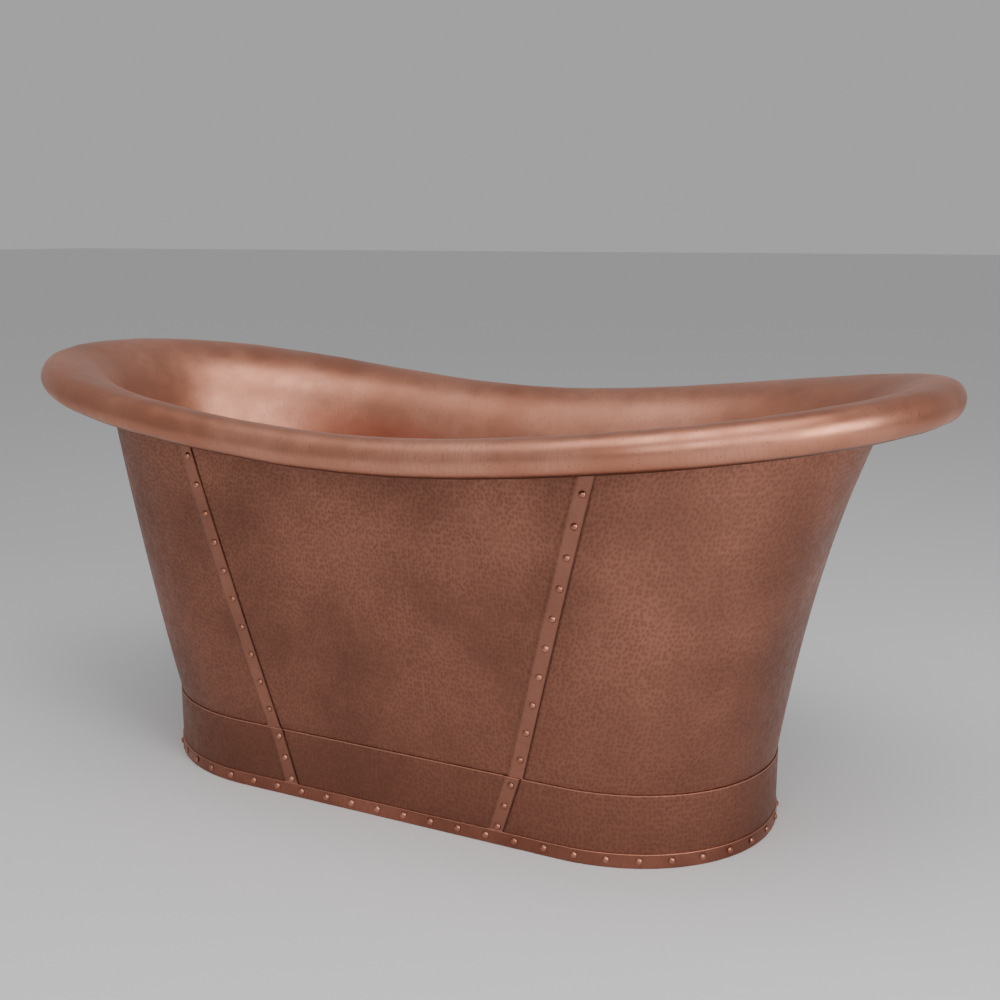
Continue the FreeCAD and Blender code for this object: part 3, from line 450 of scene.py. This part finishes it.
def sheet_piece(name, grid, normal, flat, marks):
    """Closed sheet whose front is a fine grid, whose edge is rounded and whose back is coarse."""
    rows, columns = grid.shape[:2]
    row = np.arange(rows)
    column = np.arange(columns)
    round_row = np.concatenate((np.zeros(columns - 1), row[:-1], np.full(columns - 1, rows - 1), row[:0:-1]))
    round_column = np.concatenate((column[:-1], np.full(rows - 1, columns - 1), column[:0:-1],
                                   np.zeros(rows - 1)))
    r, c = round_row.astype(int), round_column.astype(int)
    inner = grid[np.clip(r, 1, rows - 2), np.clip(c, 1, columns - 2)]
    out = grid[r, c] - inner
    out /= np.linalg.norm(out, axis=1, keepdims=True)
    middle = grid[r, c] - normal[r, c] * SHEET / 2 + out * SHEET / 5
    back = (grid - normal * SHEET)[::BACK_STEP, ::BACK_STEP]
    back_rows, back_columns = back.shape[:2]

    front_edge = r * columns + c
    middle_edge = grid.shape[0] * columns + np.arange(len(r))
    back_start = rows * columns + len(r)
    coarse = np.arange(0, len(r), BACK_STEP)
    back_edge = back_start + (r[coarse] // BACK_STEP) * back_columns + c[coarse] // BACK_STEP
    after = np.roll(front_edge, -1), np.roll(middle_edge, -1)
    faces = grid_faces(rows, columns).tolist()
    faces += np.column_stack((after[0], front_edge, middle_edge, after[1])).tolist()
    for number, start in enumerate(coarse):
        fine = [int(middle_edge[(start + step) % len(r)]) for step in range(BACK_STEP, -1, -1)]
        following = back_edge[(number + 1) % len(coarse)]
        faces.append(fine + [int(back_edge[number]), int(following)])
    faces += (grid_faces(back_rows, back_columns)[:, ::-1] + back_start).tolist()

    def with_edges(values):
        return np.concatenate((values.reshape(rows * columns, -1), values[r, c].reshape(len(r), -1),
                               values[::BACK_STEP, ::BACK_STEP].reshape(back_rows * back_columns, -1)))

    points = np.concatenate((grid.reshape(-1, 3), middle, back.reshape(-1, 3)))
    spread = {mark: with_edges(values)[:, 0] for mark, values in marks.items()}
    return mesh_piece(name, points, faces, with_edges(flat), spread, sharp_from=60)


def fitting(length, pitch):
    """Number of grid lines that suits both the pitch and the coarse back."""
    return int(math.ceil(length / pitch / BACK_STEP)) * BACK_STEP + 1


def panel_piece(name, wall, middle_turn, half_span, bottom, top_of, lap_bottom, lap_drop):
    """One panel between two seams. Its right edge, seen from outside, steps out over its neighbour."""
    def span(height):
        return half_span(height) * wall.length(height)

    level_height = (bottom + top_of(0.0)) / 2
    columns = fitting(2 * span(level_height), PANEL_GRID)
    rows = fitting(top_of(wall.at(np.array(level_height), np.array(middle_turn))[0]) - bottom, PANEL_GRID)
    share = np.linspace(-1, 1, columns)
    in_lap = (1 - share) * span(level_height) < LAP_WIDTH + LAP_JOIN + LAP_RAMP
    low = np.where(in_lap, lap_bottom, bottom)
    high = np.full(columns, level_height)
    for _ in range(8):
        turn = middle_turn + half_span(high) * share
        high = top_of(wall.at(high, turn)[:, 0]) - np.where(in_lap, lap_drop, 0)
    height = low + (high - low) * np.linspace(0, 1, rows)[:, None]
    turn = middle_turn + half_span(height) * share
    from_lap = (1 - share) * span(height)
    from_tuck = (1 + share) * span(height)
    proud = SHEET * (1 - smooth_step(LAP_WIDTH + LAP_JOIN, LAP_WIDTH + LAP_JOIN + LAP_RAMP, from_lap))
    place = wall.at(height, turn) + wall.normal(height, turn) * proud[..., None]
    grid = np.dstack((place, height))
    marks = {
        "hammered": smooth_step(LAP_WIDTH - 1 * MM, LAP_WIDTH + 2 * MM, from_lap)
        * smooth_step(8 * MM, 16 * MM, from_tuck),
        # painted highlight along the panel's top and bottom rows
        "painted_highlight": highlight_edges(rows, columns),
        # painted shade: a dark line just beside the edge of the neighbour's lap
        "painted_shade": 1 - smooth_step(0, 2.6 * MM, np.abs(from_tuck - LAP_WIDTH - 0.6 * MM)),
    }
    # painted shade along the lap's own edge
    marks["painted_shade"][:, -1] = 0.7
    flat = np.dstack((share * span(height), height))
    return sheet_piece(name, grid, face_normals(grid, closed=False), flat, marks)


def highlight_edges(rows, columns):
    """1 along the upper and lower edges of a panel, where a painted highlight goes, 0 inside."""
    wear = np.zeros((rows, columns))
    wear[[0, -1], :] = 1
    return wear


def four_panels(stem, wall, seam, material, slot, **shape):
    """Front and back panels reach out past the seams, the end panels fill in between them."""
    def long_span(height):
        return wall.turn_of(height, lambda level: seam(level) + LAP_WIDTH / 2)

    def end_span(height):
        return 0.25 - wall.turn_of(height, lambda level: seam(level) - LAP_WIDTH / 2)

    places = {"front": (0.0, long_span), "right": (0.25, end_span),
              "back": (0.5, long_span), "left": (0.75, end_span)}
    for place, (middle_turn, half_span) in places.items():
        piece = panel_piece(stem + "_copper_" + place, wall, middle_turn, half_span, **shape)
        hammer(piece)
        settle(piece, "tub", slot, material, stem + "_panel_" + place)


# ---- node trees ---------------------------------------------------------
def add(tree, kind, inputs=(), **settings):
    """A node with its settings. Its inputs are values or other nodes' output sockets."""
    made = tree.nodes.new(kind)
    for setting, value in settings.items():
        setattr(made, setting, value)
    for name, value in dict(inputs).items():
        if isinstance(value, bpy.types.NodeSocket):
            tree.links.new(value, made.inputs[name])
        else:
            made.inputs[name].default_value = value
    return made


def math_node(tree, operation, first, second=0.0, third=0.0):
    node = add(tree, "ShaderNodeMath", {0: first, 1: second, 2: third}, operation=operation)
    return node.outputs[0]


def mapped(tree, value, from_low, from_high, to_low, to_high, smooth=True):
    inputs = {"Value": value, "From Min": from_low, "From Max": from_high,
              "To Min": to_low, "To Max": to_high}
    kind = "SMOOTHSTEP" if smooth else "LINEAR"
    return add(tree, "ShaderNodeMapRange", inputs, interpolation_type=kind).outputs[0]


def scaled(tree, place, factors):
    node = add(tree, "ShaderNodeVectorMath", {0: place, 1: factors}, operation="MULTIPLY")
    return node.outputs[0]


def mixed(tree, factor, first, second):
    return add(tree, "ShaderNodeMix", {0: factor, 6: first, 7: second}, data_type="RGBA").outputs[2]


def noise(tree, place, scale, detail=3.0, roughness=0.5):
    inputs = {"Vector": place, "Scale": scale, "Detail": detail, "Roughness": roughness}
    return add(tree, "ShaderNodeTexNoise", inputs).outputs[0]


def dents(tree, flat):
    """Hammer marks over a sheet's flat coordinates: 1 in the middle of each mark, 0 on the ridges."""
    warp = add(tree, "ShaderNodeTexNoise", {"Vector": flat, "Scale": 70.0, "Detail": 1.0}).outputs[1]
    shift = scaled(tree, warp, (0.0025, 0.0025, 0))
    place = add(tree, "ShaderNodeVectorMath", {0: flat, 1: shift}, operation="ADD").outputs[0]
    cells = scaled(tree, place, (1 / DENT_WIDTH, 1 / DENT_TALL, 1))
    marks = add(tree, "ShaderNodeTexVoronoi", {"Vector": cells, "Scale": 1.0, "Randomness": 0.72},
                voronoi_dimensions="2D", feature="F1")
    blow = add(tree, "ShaderNodeSeparateXYZ", {0: marks.outputs["Color"]}).outputs[0]
    force = mapped(tree, blow, 0, 1, 0.7, 1, smooth=False)
    bowl = mapped(tree, marks.outputs["Distance"], 0.05, 0.66, 1, 0)
    return math_node(tree, "MULTIPLY", bowl, force)


def hammering():
    """Geometry nodes that press the hammer marks into a sheet, along its normals."""
    tree = bpy.data.node_groups.new("hammering", "GeometryNodeTree")
    tree.interface.new_socket("Geometry", in_out="INPUT", socket_type="NodeSocketGeometry")
    tree.interface.new_socket("Geometry", in_out="OUTPUT", socket_type="NodeSocketGeometry")
    given = add(tree, "NodeGroupInput")
    flat = add(tree, "GeometryNodeInputNamedAttribute", {0: "sheet"}, data_type="FLOAT_VECTOR")
    mask = add(tree, "GeometryNodeInputNamedAttribute", {0: "hammered"}, data_type="FLOAT")
    depth = math_node(tree, "MULTIPLY", dents(tree, flat.outputs[0]), mask.outputs[0])
    normal = add(tree, "GeometryNodeInputNormal").outputs[0]
    inward = math_node(tree, "MULTIPLY", depth, -DENT_DEPTH)
    push = add(tree, "ShaderNodeVectorMath", {0: normal, "Scale": inward}, operation="SCALE").outputs[0]
    moved = add(tree, "GeometryNodeSetPosition", {"Geometry": given.outputs[0], "Offset": push})
    add(tree, "NodeGroupOutput", {0: moved.outputs[0]})
    return tree


HAMMERING = hammering()


def hammer(piece):
    """Presses the marks in for good."""
    piece.modifiers.new("hammering", "NODES").node_group = HAMMERING
    graph = bpy.context.evaluated_depsgraph_get()
    beaten = bpy.data.meshes.new_from_object(piece.evaluated_get(graph), depsgraph=graph)
    piece.modifiers.clear()
    piece.data = beaten


# ---- materials ----------------------------------------------------------
def paint(red, green, blue):
    """Linear colour from 8-bit sRGB values."""
    def linear(value):
        share = value / 255
        return share / 12.92 if share <= 0.04045 else ((share + 0.055) / 1.055) ** 2.4
    return (linear(red), linear(green), linear(blue), 1.0)


def metal(name):
    """New material: its tree, its shader and its position and flat coordinates."""
    material = bpy.data.materials.new(name)
    material.use_nodes = True
    tree = material.node_tree
    tree.nodes.clear()
    shader = add(tree, "ShaderNodeBsdfPrincipled", {"Metallic": 1.0})
    add(tree, "ShaderNodeOutputMaterial", {"Surface": shader.outputs[0]})
    place = add(tree, "ShaderNodeTexCoord").outputs["Object"]
    flat = add(tree, "ShaderNodeUVMap", uv_map="sheet").outputs[0]
    return material, tree, shader, place, flat


def connect(tree, shader, **sockets):
    for name, value in sockets.items():
        tree.links.new(value, shader.inputs[name.replace("_", " ")])


def bumped(tree, height, distance, strength=1.0):
    inputs = {"Height": height, "Distance": distance, "Strength": strength}
    return add(tree, "ShaderNodeBump", inputs).outputs[0]


# Painted shade: near-black colour laid under the rim's roll, beside lap edges and round the rivets' feet.
PAINTED_SHADE_COLOUR = paint(58, 34, 28)
# Painted highlight: light colour laid along the top and bottom edges of sheets and the trim's top edge.
PAINTED_HIGHLIGHT_COLOUR = paint(214, 154, 130)


def hammered_copper(name, ridge, dent, cloud_and_shade_colour, roughness):
    """Dark patinated copper: rubbed ridges between dark hammer marks, under a cloudy patina, with painted shade
    towards the bottom and beside lap edges, and a painted highlight along top and bottom edges.
    """
    material, tree, shader, place, flat = metal(name)
    hammered = add(tree, "ShaderNodeAttribute", attribute_name="hammered").outputs["Fac"]
    painted_highlight = add(tree, "ShaderNodeAttribute", attribute_name="painted_highlight").outputs["Fac"]
    painted_shade = add(tree, "ShaderNodeAttribute", attribute_name="painted_shade").outputs["Fac"]
    marks = math_node(tree, "MULTIPLY", dents(tree, flat), hammered)
    smear = mapped(tree, noise(tree, place, 28.0, 3.0), 0.3, 0.7, 0.7, 1.0)
    dark = math_node(tree, "MULTIPLY", mapped(tree, marks, 0.0, 0.75, 0, 1), smear)
    colour = mixed(tree, dark, ridge, dent)
    clouds = mapped(tree, noise(tree, place, 4.2, 3.0, 0.55), 0.3, 0.7, 1, 0)
    colour = mixed(tree, math_node(tree, "MULTIPLY", clouds, 0.6), colour, cloud_and_shade_colour)
    # Painted shade: the colour darkens towards the bottom, standing in for the shade and reflection of a dark
    # floor.
    level = add(tree, "ShaderNodeSeparateXYZ", {0: place}).outputs[2]
    low = mapped(tree, level, 0.0, 0.55, 0.6, 0, smooth=False)
    colour = mixed(tree, low, colour, cloud_and_shade_colour)
    plain = mapped(tree, hammered, 0, 1, 0.26, 0, smooth=False)
    colour = mixed(tree, math_node(tree, "MULTIPLY", plain, smear), colour, paint(204, 144, 124))
    grime = mapped(tree, noise(tree, place, 220.0, 2.0), 0.35, 0.75, 0, 0.35)
    colour = mixed(tree, grime, colour, dent)
    # painted highlight along the top and bottom edges
    colour = mixed(tree, math_node(tree, "MULTIPLY", painted_highlight, 0.8), colour, PAINTED_HIGHLIGHT_COLOUR)
    # painted shade beside the lap edges
    colour = mixed(tree, math_node(tree, "MULTIPLY", painted_shade, 0.75), colour, PAINTED_SHADE_COLOUR)
    rough = mapped(tree, noise(tree, place, 60.0, 3.0), 0.3, 0.7, roughness - 0.06, roughness + 0.08)
    fine = noise(tree, place, 900.0, 2.0)
    height = math_node(tree, "MULTIPLY_ADD", marks, -0.8, math_node(tree, "MULTIPLY", fine, 0.12))
    connect(tree, shader, Base_Color=colour, Roughness=rough, Normal=bumped(tree, height, 0.00035, 0.6))
    return material


def smooth_copper(name, light, deep, roughness, specks):
    """Satin copper: faint planishing streaks across the sheet, small dark specks, soft clouds."""
    material, tree, shader, place, flat = metal(name)
    clouds = mapped(tree, noise(tree, place, 5.0, 4.0, 0.55), 0.3, 0.7, 0, 1)
    colour = mixed(tree, clouds, light, deep)
    streaks = noise(tree, scaled(tree, flat, (300.0, 60.0, 1)), 1.0, 3.0)
    colour = mixed(tree, mapped(tree, streaks, 0.4, 0.8, 0, 0.6), colour, deep)
    spread = scaled(tree, flat, (120.0, 120.0, 1))
    cells = add(tree, "ShaderNodeTexVoronoi", {"Vector": spread, "Scale": 1.0},
                voronoi_dimensions="2D", feature="F1")
    chosen = add(tree, "ShaderNodeSeparateXYZ", {0: cells.outputs["Color"]}).outputs[0]
    size = mapped(tree, chosen, 1 - specks, 1, 0.0, 0.13, smooth=False)
    edge = math_node(tree, "SUBTRACT", size, cells.outputs["Distance"])
    speck = mapped(tree, edge, -0.03, 0.03, 0, 1)
    colour = mixed(tree, math_node(tree, "MULTIPLY", speck, 0.5), colour, paint(104, 62, 48))
    # painted highlight along the trim's top edge
    painted_highlight = add(tree, "ShaderNodeAttribute", attribute_name="painted_highlight").outputs["Fac"]
    colour = mixed(tree, math_node(tree, "MULTIPLY", painted_highlight, 0.8), colour, PAINTED_HIGHLIGHT_COLOUR)
    # painted shade under the rim's roll and round the rivets' feet
    painted_shade = add(tree, "ShaderNodeAttribute", attribute_name="painted_shade").outputs["Fac"]
    colour = mixed(tree, math_node(tree, "MULTIPLY", painted_shade, 0.85), colour, PAINTED_SHADE_COLOUR)
    rough = mapped(tree, noise(tree, place, 26.0, 4.0), 0.3, 0.7, roughness - 0.05, roughness + 0.06)
    fine = math_node(tree, "ADD", noise(tree, place, 500.0, 3.0), streaks)
    height = math_node(tree, "MULTIPLY_ADD", speck, -1.2, fine)
    connect(tree, shader, Base_Color=colour, Roughness=rough, Normal=bumped(tree, height, 0.0001, 0.5))
    return material


def plain_finish(name, light, dark, roughness, metallic, grain, depth):
    """Cast, turned or moulded finish: two tones in a fine grain, with a matching bump."""
    material, tree, shader, place, _ = metal(name)
    shader.inputs["Metallic"].default_value = metallic
    broad = noise(tree, place, 18.0, 3.0)
    small = noise(tree, place, grain, 4.0)
    tone = math_node(tree, "MULTIPLY_ADD", broad, 0.6, math_node(tree, "MULTIPLY", small, 0.4))
    colour = mixed(tree, mapped(tree, tone, 0.3, 0.7, 0, 1), light, dark)
    rough = mapped(tree, small, 0.3, 0.7, roughness - 0.08, roughness + 0.08)
    connect(tree, shader, Base_Color=colour, Roughness=rough, Normal=bumped(tree, small, depth, 0.6))
    return material


COPPER_BASIN = smooth_copper("copper_basin", paint(212, 150, 126), paint(184, 122, 98), 0.42, 0.35)
COPPER_TRIM = smooth_copper("copper_trim", paint(164, 108, 90), paint(128, 82, 67), 0.46, 0.3)
COPPER_RIVET = smooth_copper("copper_rivet", paint(200, 140, 118), paint(160, 104, 84), 0.36, 0.1)
COPPER_SKIRT = hammered_copper("copper_skirt", paint(174, 118, 98), paint(148, 99, 82),
                               paint(102, 67, 56), 0.46)
COPPER_PLINTH = hammered_copper("copper_plinth", paint(166, 112, 92), paint(138, 91, 76),
                                paint(108, 71, 59), 0.48)
FINISHES = {
    "copper_basin": COPPER_BASIN,
    "copper_skirt": COPPER_SKIRT,
    "copper_plinth": COPPER_PLINTH,
    "copper_trim": COPPER_TRIM,
    "copper_rivet": COPPER_RIVET,
    "bronze_fitting": plain_finish("bronze_fitting", paint(168, 112, 86), paint(122, 78, 58), 0.32, 1.0,
                                   300.0, 0.00006),
    "brass_plumbing": plain_finish("brass_plumbing", paint(206, 170, 104), paint(168, 132, 74), 0.34, 1.0,
                                   400.0, 0.00006),
    "steel_frame": plain_finish("steel_frame", paint(92, 94, 98), paint(60, 62, 66), 0.5, 0.6,
                                700.0, 0.0001),
    "zinc_fastener": plain_finish("zinc_fastener", paint(196, 198, 202), paint(160, 162, 168), 0.35, 1.0,
                                  500.0, 0.00005),
    "rubber_seal": plain_finish("rubber_seal", paint(38, 38, 40), paint(24, 24, 26), 0.7, 0.0,
                                900.0, 0.0001),
    "cable_sheath": plain_finish("cable_sheath", paint(44, 44, 46), paint(30, 30, 32), 0.5, 0.0,
                                 900.0, 0.00005),
}


# ---- trim band ----------------------------------------------------------
def trim_piece():
    """Riveted band round the foot of the plinth, with a rounded top edge that carries a painted highlight."""
    loop = whole(base_half(561))
    normal = outward(loop)[:-1]
    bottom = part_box("trim_band")[0].z
    soft = 0.8 * MM
    face = TRIM_PROUD - soft
    section = [(TRIM_GAP, bottom), (face, bottom), (TRIM_PROUD, bottom + soft)]
    section += [(TRIM_PROUD, height) for height in np.linspace(bottom + 2 * MM, TRIM_HEIGHT - 2 * MM, 9)]
    for turn in np.linspace(0, math.pi / 2, 5):
        section.append((face + soft * math.cos(turn), TRIM_HEIGHT - soft + soft * math.sin(turn)))
    section += [(TRIM_GAP, TRIM_HEIGHT)]
    rows = []
    for distance, height in section:
        rows.append(np.column_stack((loop[:-1] + normal * distance, np.full(len(normal), height))))
    grid = np.array(rows + rows[:1])
    wave = unevenness(grid, amplitude=0.12 * MM, wavelength=26 * MM, seed=11)
    wave[[0, 1, -2, -1]] = 0
    grid[..., :2] += normal * wave[..., None]
    columns = len(normal)
    points = grid[:-1].reshape(-1, 3)
    faces = grid_faces(len(grid), columns, closed=True) % len(points)
    girth = np.linalg.norm(np.diff(loop, axis=0), axis=1).sum()
    reach = np.concatenate(([0], np.cumsum(np.hypot(*np.diff(section, axis=0).T))))
    flat = np.stack(np.meshgrid(np.arange(columns) / columns * girth, reach), axis=-1)
    heights = np.array([height for _, height in section])
    # painted highlight on the band's top 0.7 mm
    painted_highlight = np.repeat(heights > TRIM_HEIGHT - 0.7 * MM, columns).astype(float)
    piece = mesh_piece("trim_copper", points, faces.tolist(), flat.reshape(-1, 2), {"painted_highlight": painted_highlight},
                       sharp_from=50)
    settle(piece, "tub", "copper_trim", COPPER_TRIM, "trim_band")


# ---- rivets -------------------------------------------------------------
def rivet_section(grip):
    """Radius and height of a rivet's outline, from the crown of its head down to its tail."""
    rise = RIVET_HEIGHT - RIVET_FOOT
    sphere = (rise ** 2 + RIVET_RADIUS ** 2) / (2 * rise)
    widest = math.asin(RIVET_RADIUS / sphere)
    head = [(sphere * math.sin(turn), RIVET_HEIGHT - sphere * (1 - math.cos(turn)))
            for turn in np.linspace(0, widest, 8)[1:]]
    foot = 0.1 * MM
    deep = grip + RIVET_TAIL_HEIGHT
    return head + [(RIVET_RADIUS - 0.2 * MM, foot), (RIVET_SHANK, foot), (RIVET_SHANK, -grip),
                   (RIVET_TAIL, -grip), (RIVET_TAIL, -deep)]


def rivet_piece(name, seats, grip, node):
    """All the rivets of one seam group, each a little different, as hand-set rivets are."""
    dice = np.random.default_rng(len(seats))
    section = rivet_section(grip)
    around = 24
    angles = np.arange(around) * 2 * math.pi / around
    points, faces, flat, painted_shade = [], [], [], []
    for number, (seat, direction) in enumerate(seats):
        up = direction / np.linalg.norm(direction)
        side = np.cross((0, 0, 1.0), up)
        side /= np.linalg.norm(side)
        other = np.cross(up, side)
        size = dice.uniform(0.95, 1.0)
        lean = dice.uniform(-0.05, 0.05, 2)
        start = len(points)
        rings = [(0.0, RIVET_HEIGHT)] + section + [(0.0, section[-1][1])]
        for ring, (radius, height) in enumerate(rings):
            for angle in (angles if radius > 0 else angles[:1]):
                across = radius * math.cos(angle) * size
                along = radius * math.sin(angle) * size
                head = height > 0.2 * MM
                tilt = (across * lean[0] + along * lean[1]) if head else 0.0
                points.append(seat + side * across + other * along + up * (height + tilt))
                flat.append((number * 0.05 + across, along + ring * 0.01))
                # painted shade round the foot of the head
                painted_shade.append(1.0 if height < 0.9 * MM else 0.0)
        first = start + 1
        for step in range(around):
            faces.append((start, first + step, first + (step + 1) % around))
        for ring in range(len(section) - 1):
            low = first + ring * around
            for step in range(around):
                after = (step + 1) % around
                faces.append((low + step, low + around + step, low + around + after, low + after))
        last = first + (len(section) - 1) * around
        for step in range(around):
            faces.append((last + step, len(points) - 1, last + (step + 1) % around))
    marks = {"painted_shade": np.array(painted_shade)}
    piece = mesh_piece(name, np.array(points), faces, np.array(flat), marks)
    settle(piece, "tub", "copper_rivet", COPPER_RIVET, node)


def wall_seats(wall, seam, low, pitch, count):
    """Seats of a seam's rivets on the lap's face, on both seams of both sides."""
    seats = []
    for number in range(count):
        height = low + pitch * number
        turn = wall.turn_of(height, seam)
        for place in (turn, -turn, 0.5 + turn, 0.5 - turn):
            spots = []
            for level in (height - 4 * MM, height, height + 4 * MM):
                there = np.array(level), np.array(place)
                plan = wall.at(*there) + wall.normal(*there) * SHEET
                spots.append(np.append(plan, level))
            flat_normal = np.append(wall.normal(np.array(height), np.array(place)), 0)
            climb = spots[2] - spots[0]
            climb /= np.linalg.norm(climb)
            seats.append((spots[1], flat_normal - climb * (flat_normal @ climb)))
    return seats


def trim_seats():
    """Seats evenly round the band, with the front middle halfway between two rivets."""
    count = 401
    loop = whole(base_half(count))
    half = evenly((loop + outward(loop) * TRIM_PROUD)[:count], TRIM_RIVETS + 1)
    grown = whole(half)
    normal = outward(grown)
    return [(np.append(grown[spot], TRIM_RIVET_HEIGHT), np.append(normal[spot], 0))
            for spot in range(1, 2 * TRIM_RIVETS, 2)]


# ---- the piece list -----------------------------------------------------
def copper_work():
    settle(basin_piece(), "tub", "copper_basin", COPPER_BASIN, "basin")
    skirt = Wall(skirt_half, SKIRT_BOTTOM, WALL_TABLE_TOP, 60)
    plinth = Wall(lambda height, count: base_half(count), 0.0, PLINTH_TOP, 2)
    four_panels("skirt", skirt, seam_x, COPPER_SKIRT, "copper_skirt", bottom=SKIRT_BOTTOM,
                top_of=skirt_top, lap_bottom=PLINTH_TOP + 0.6 * MM, lap_drop=LAP_TOP_DROP)
    four_panels("plinth", plinth, plinth_seam_x, COPPER_PLINTH, "copper_plinth", bottom=PLINTH_BOTTOM,
                top_of=lambda x: PLINTH_TOP + 0 * x, lap_bottom=TRIM_HEIGHT + 0.4 * MM, lap_drop=0.0)
    trim_piece()
    grip = 2 * SHEET + LAP_GAP
    rivet_piece("skirt_rivet_heads", wall_seats(skirt, seam_x, SEAM_Z_LOW, SEAM_PITCH, SEAM_RIVETS),
                grip, "skirt_rivets")
    rivet_piece("plinth_rivet_heads", wall_seats(plinth, plinth_seam_x, PLINTH_SEAM_Z_LOW,
                                                 PLINTH_SEAM_PITCH, PLINTH_SEAM_RIVETS),
                grip, "plinth_rivets")
    rivet_piece("trim_rivet_heads", trim_seats(), TRIM_PROUD + grip, "trim_rivets")


def finish_cad_nodes():
    """Every CAD node that stays in view takes the finish of its slot."""
    slots = {part["node"]: part["material_slot"] for part in frame["record"]["subparts"]}
    for name, node in frame["nodes"].items():
        for number in range(len(node.material_slots)):
            node.material_slots[number].material = FINISHES[slots[name]]


# ---- studio -------------------------------------------------------------
def studio_material(name, colour, roughness):
    material = bpy.data.materials.new(name)
    material.use_nodes = True
    shader = material.node_tree.nodes["Principled BSDF"]
    shader.inputs["Base Color"].default_value = colour
    shader.inputs["Roughness"].default_value = roughness
    return material


def floor():
    reach = 60.0
    corners = [(-reach, -reach, 0), (reach, -reach, 0), (reach, reach, 0), (-reach, reach, 0)]
    mesh = bpy.data.meshes.new("floor")
    mesh.from_pydata(corners, [], [(0, 1, 2, 3)])
    mesh.materials.append(studio_material("pale_floor", paint(226, 226, 226), 0.85))
    ground = bpy.data.objects.new("floor", mesh)
    bpy.context.scene.collection.objects.link(ground)


def softbox(name, place, target, width, height, watts):
    light = bpy.data.lights.new(name, "AREA")
    light.shape = "RECTANGLE"
    light.size = width
    light.size_y = height
    light.energy = watts
    lamp = bpy.data.objects.new(name, light)
    lamp.location = place
    lamp.rotation_euler = (Vector(target) - Vector(place)).to_track_quat("-Z", "Y").to_euler()
    bpy.context.scene.collection.objects.link(lamp)


def sky(colour, strength):
    world = bpy.data.worlds.new("studio")
    world.use_nodes = True
    background = world.node_tree.nodes["Background"]
    background.inputs["Color"].default_value = colour
    background.inputs["Strength"].default_value = strength
    bpy.context.scene.world = world


def camera():
    """At waist height, to the right of the tub's middle, looking a little down."""
    lens = bpy.data.cameras.new("camera")
    lens.sensor_width = SENSOR
    lens.lens = LENS
    eye = bpy.data.objects.new("camera", lens)
    eye.location = EYE
    eye.rotation_euler = (math.radians(90 - LOOKS_DOWN), 0, math.radians(LOOKS_LEFT))
    bpy.context.scene.collection.objects.link(eye)
    bpy.context.scene.camera = eye


camera()
copper_work()
finish_cad_nodes()
floor()
sky(paint(226, 226, 228), 0.55)
softbox("window", (3.3, -1.6, 1.6), (0, 0, 0.6), 1.6, 1.6, 72)
softbox("overhead", (0.3, -0.9, 3.0), (0, 0, 0.5), 2.6, 1.8, 40)
softbox("front", (1.2, -3.4, 1.9), (0, 0, 0.55), 2.4, 1.4, 32)
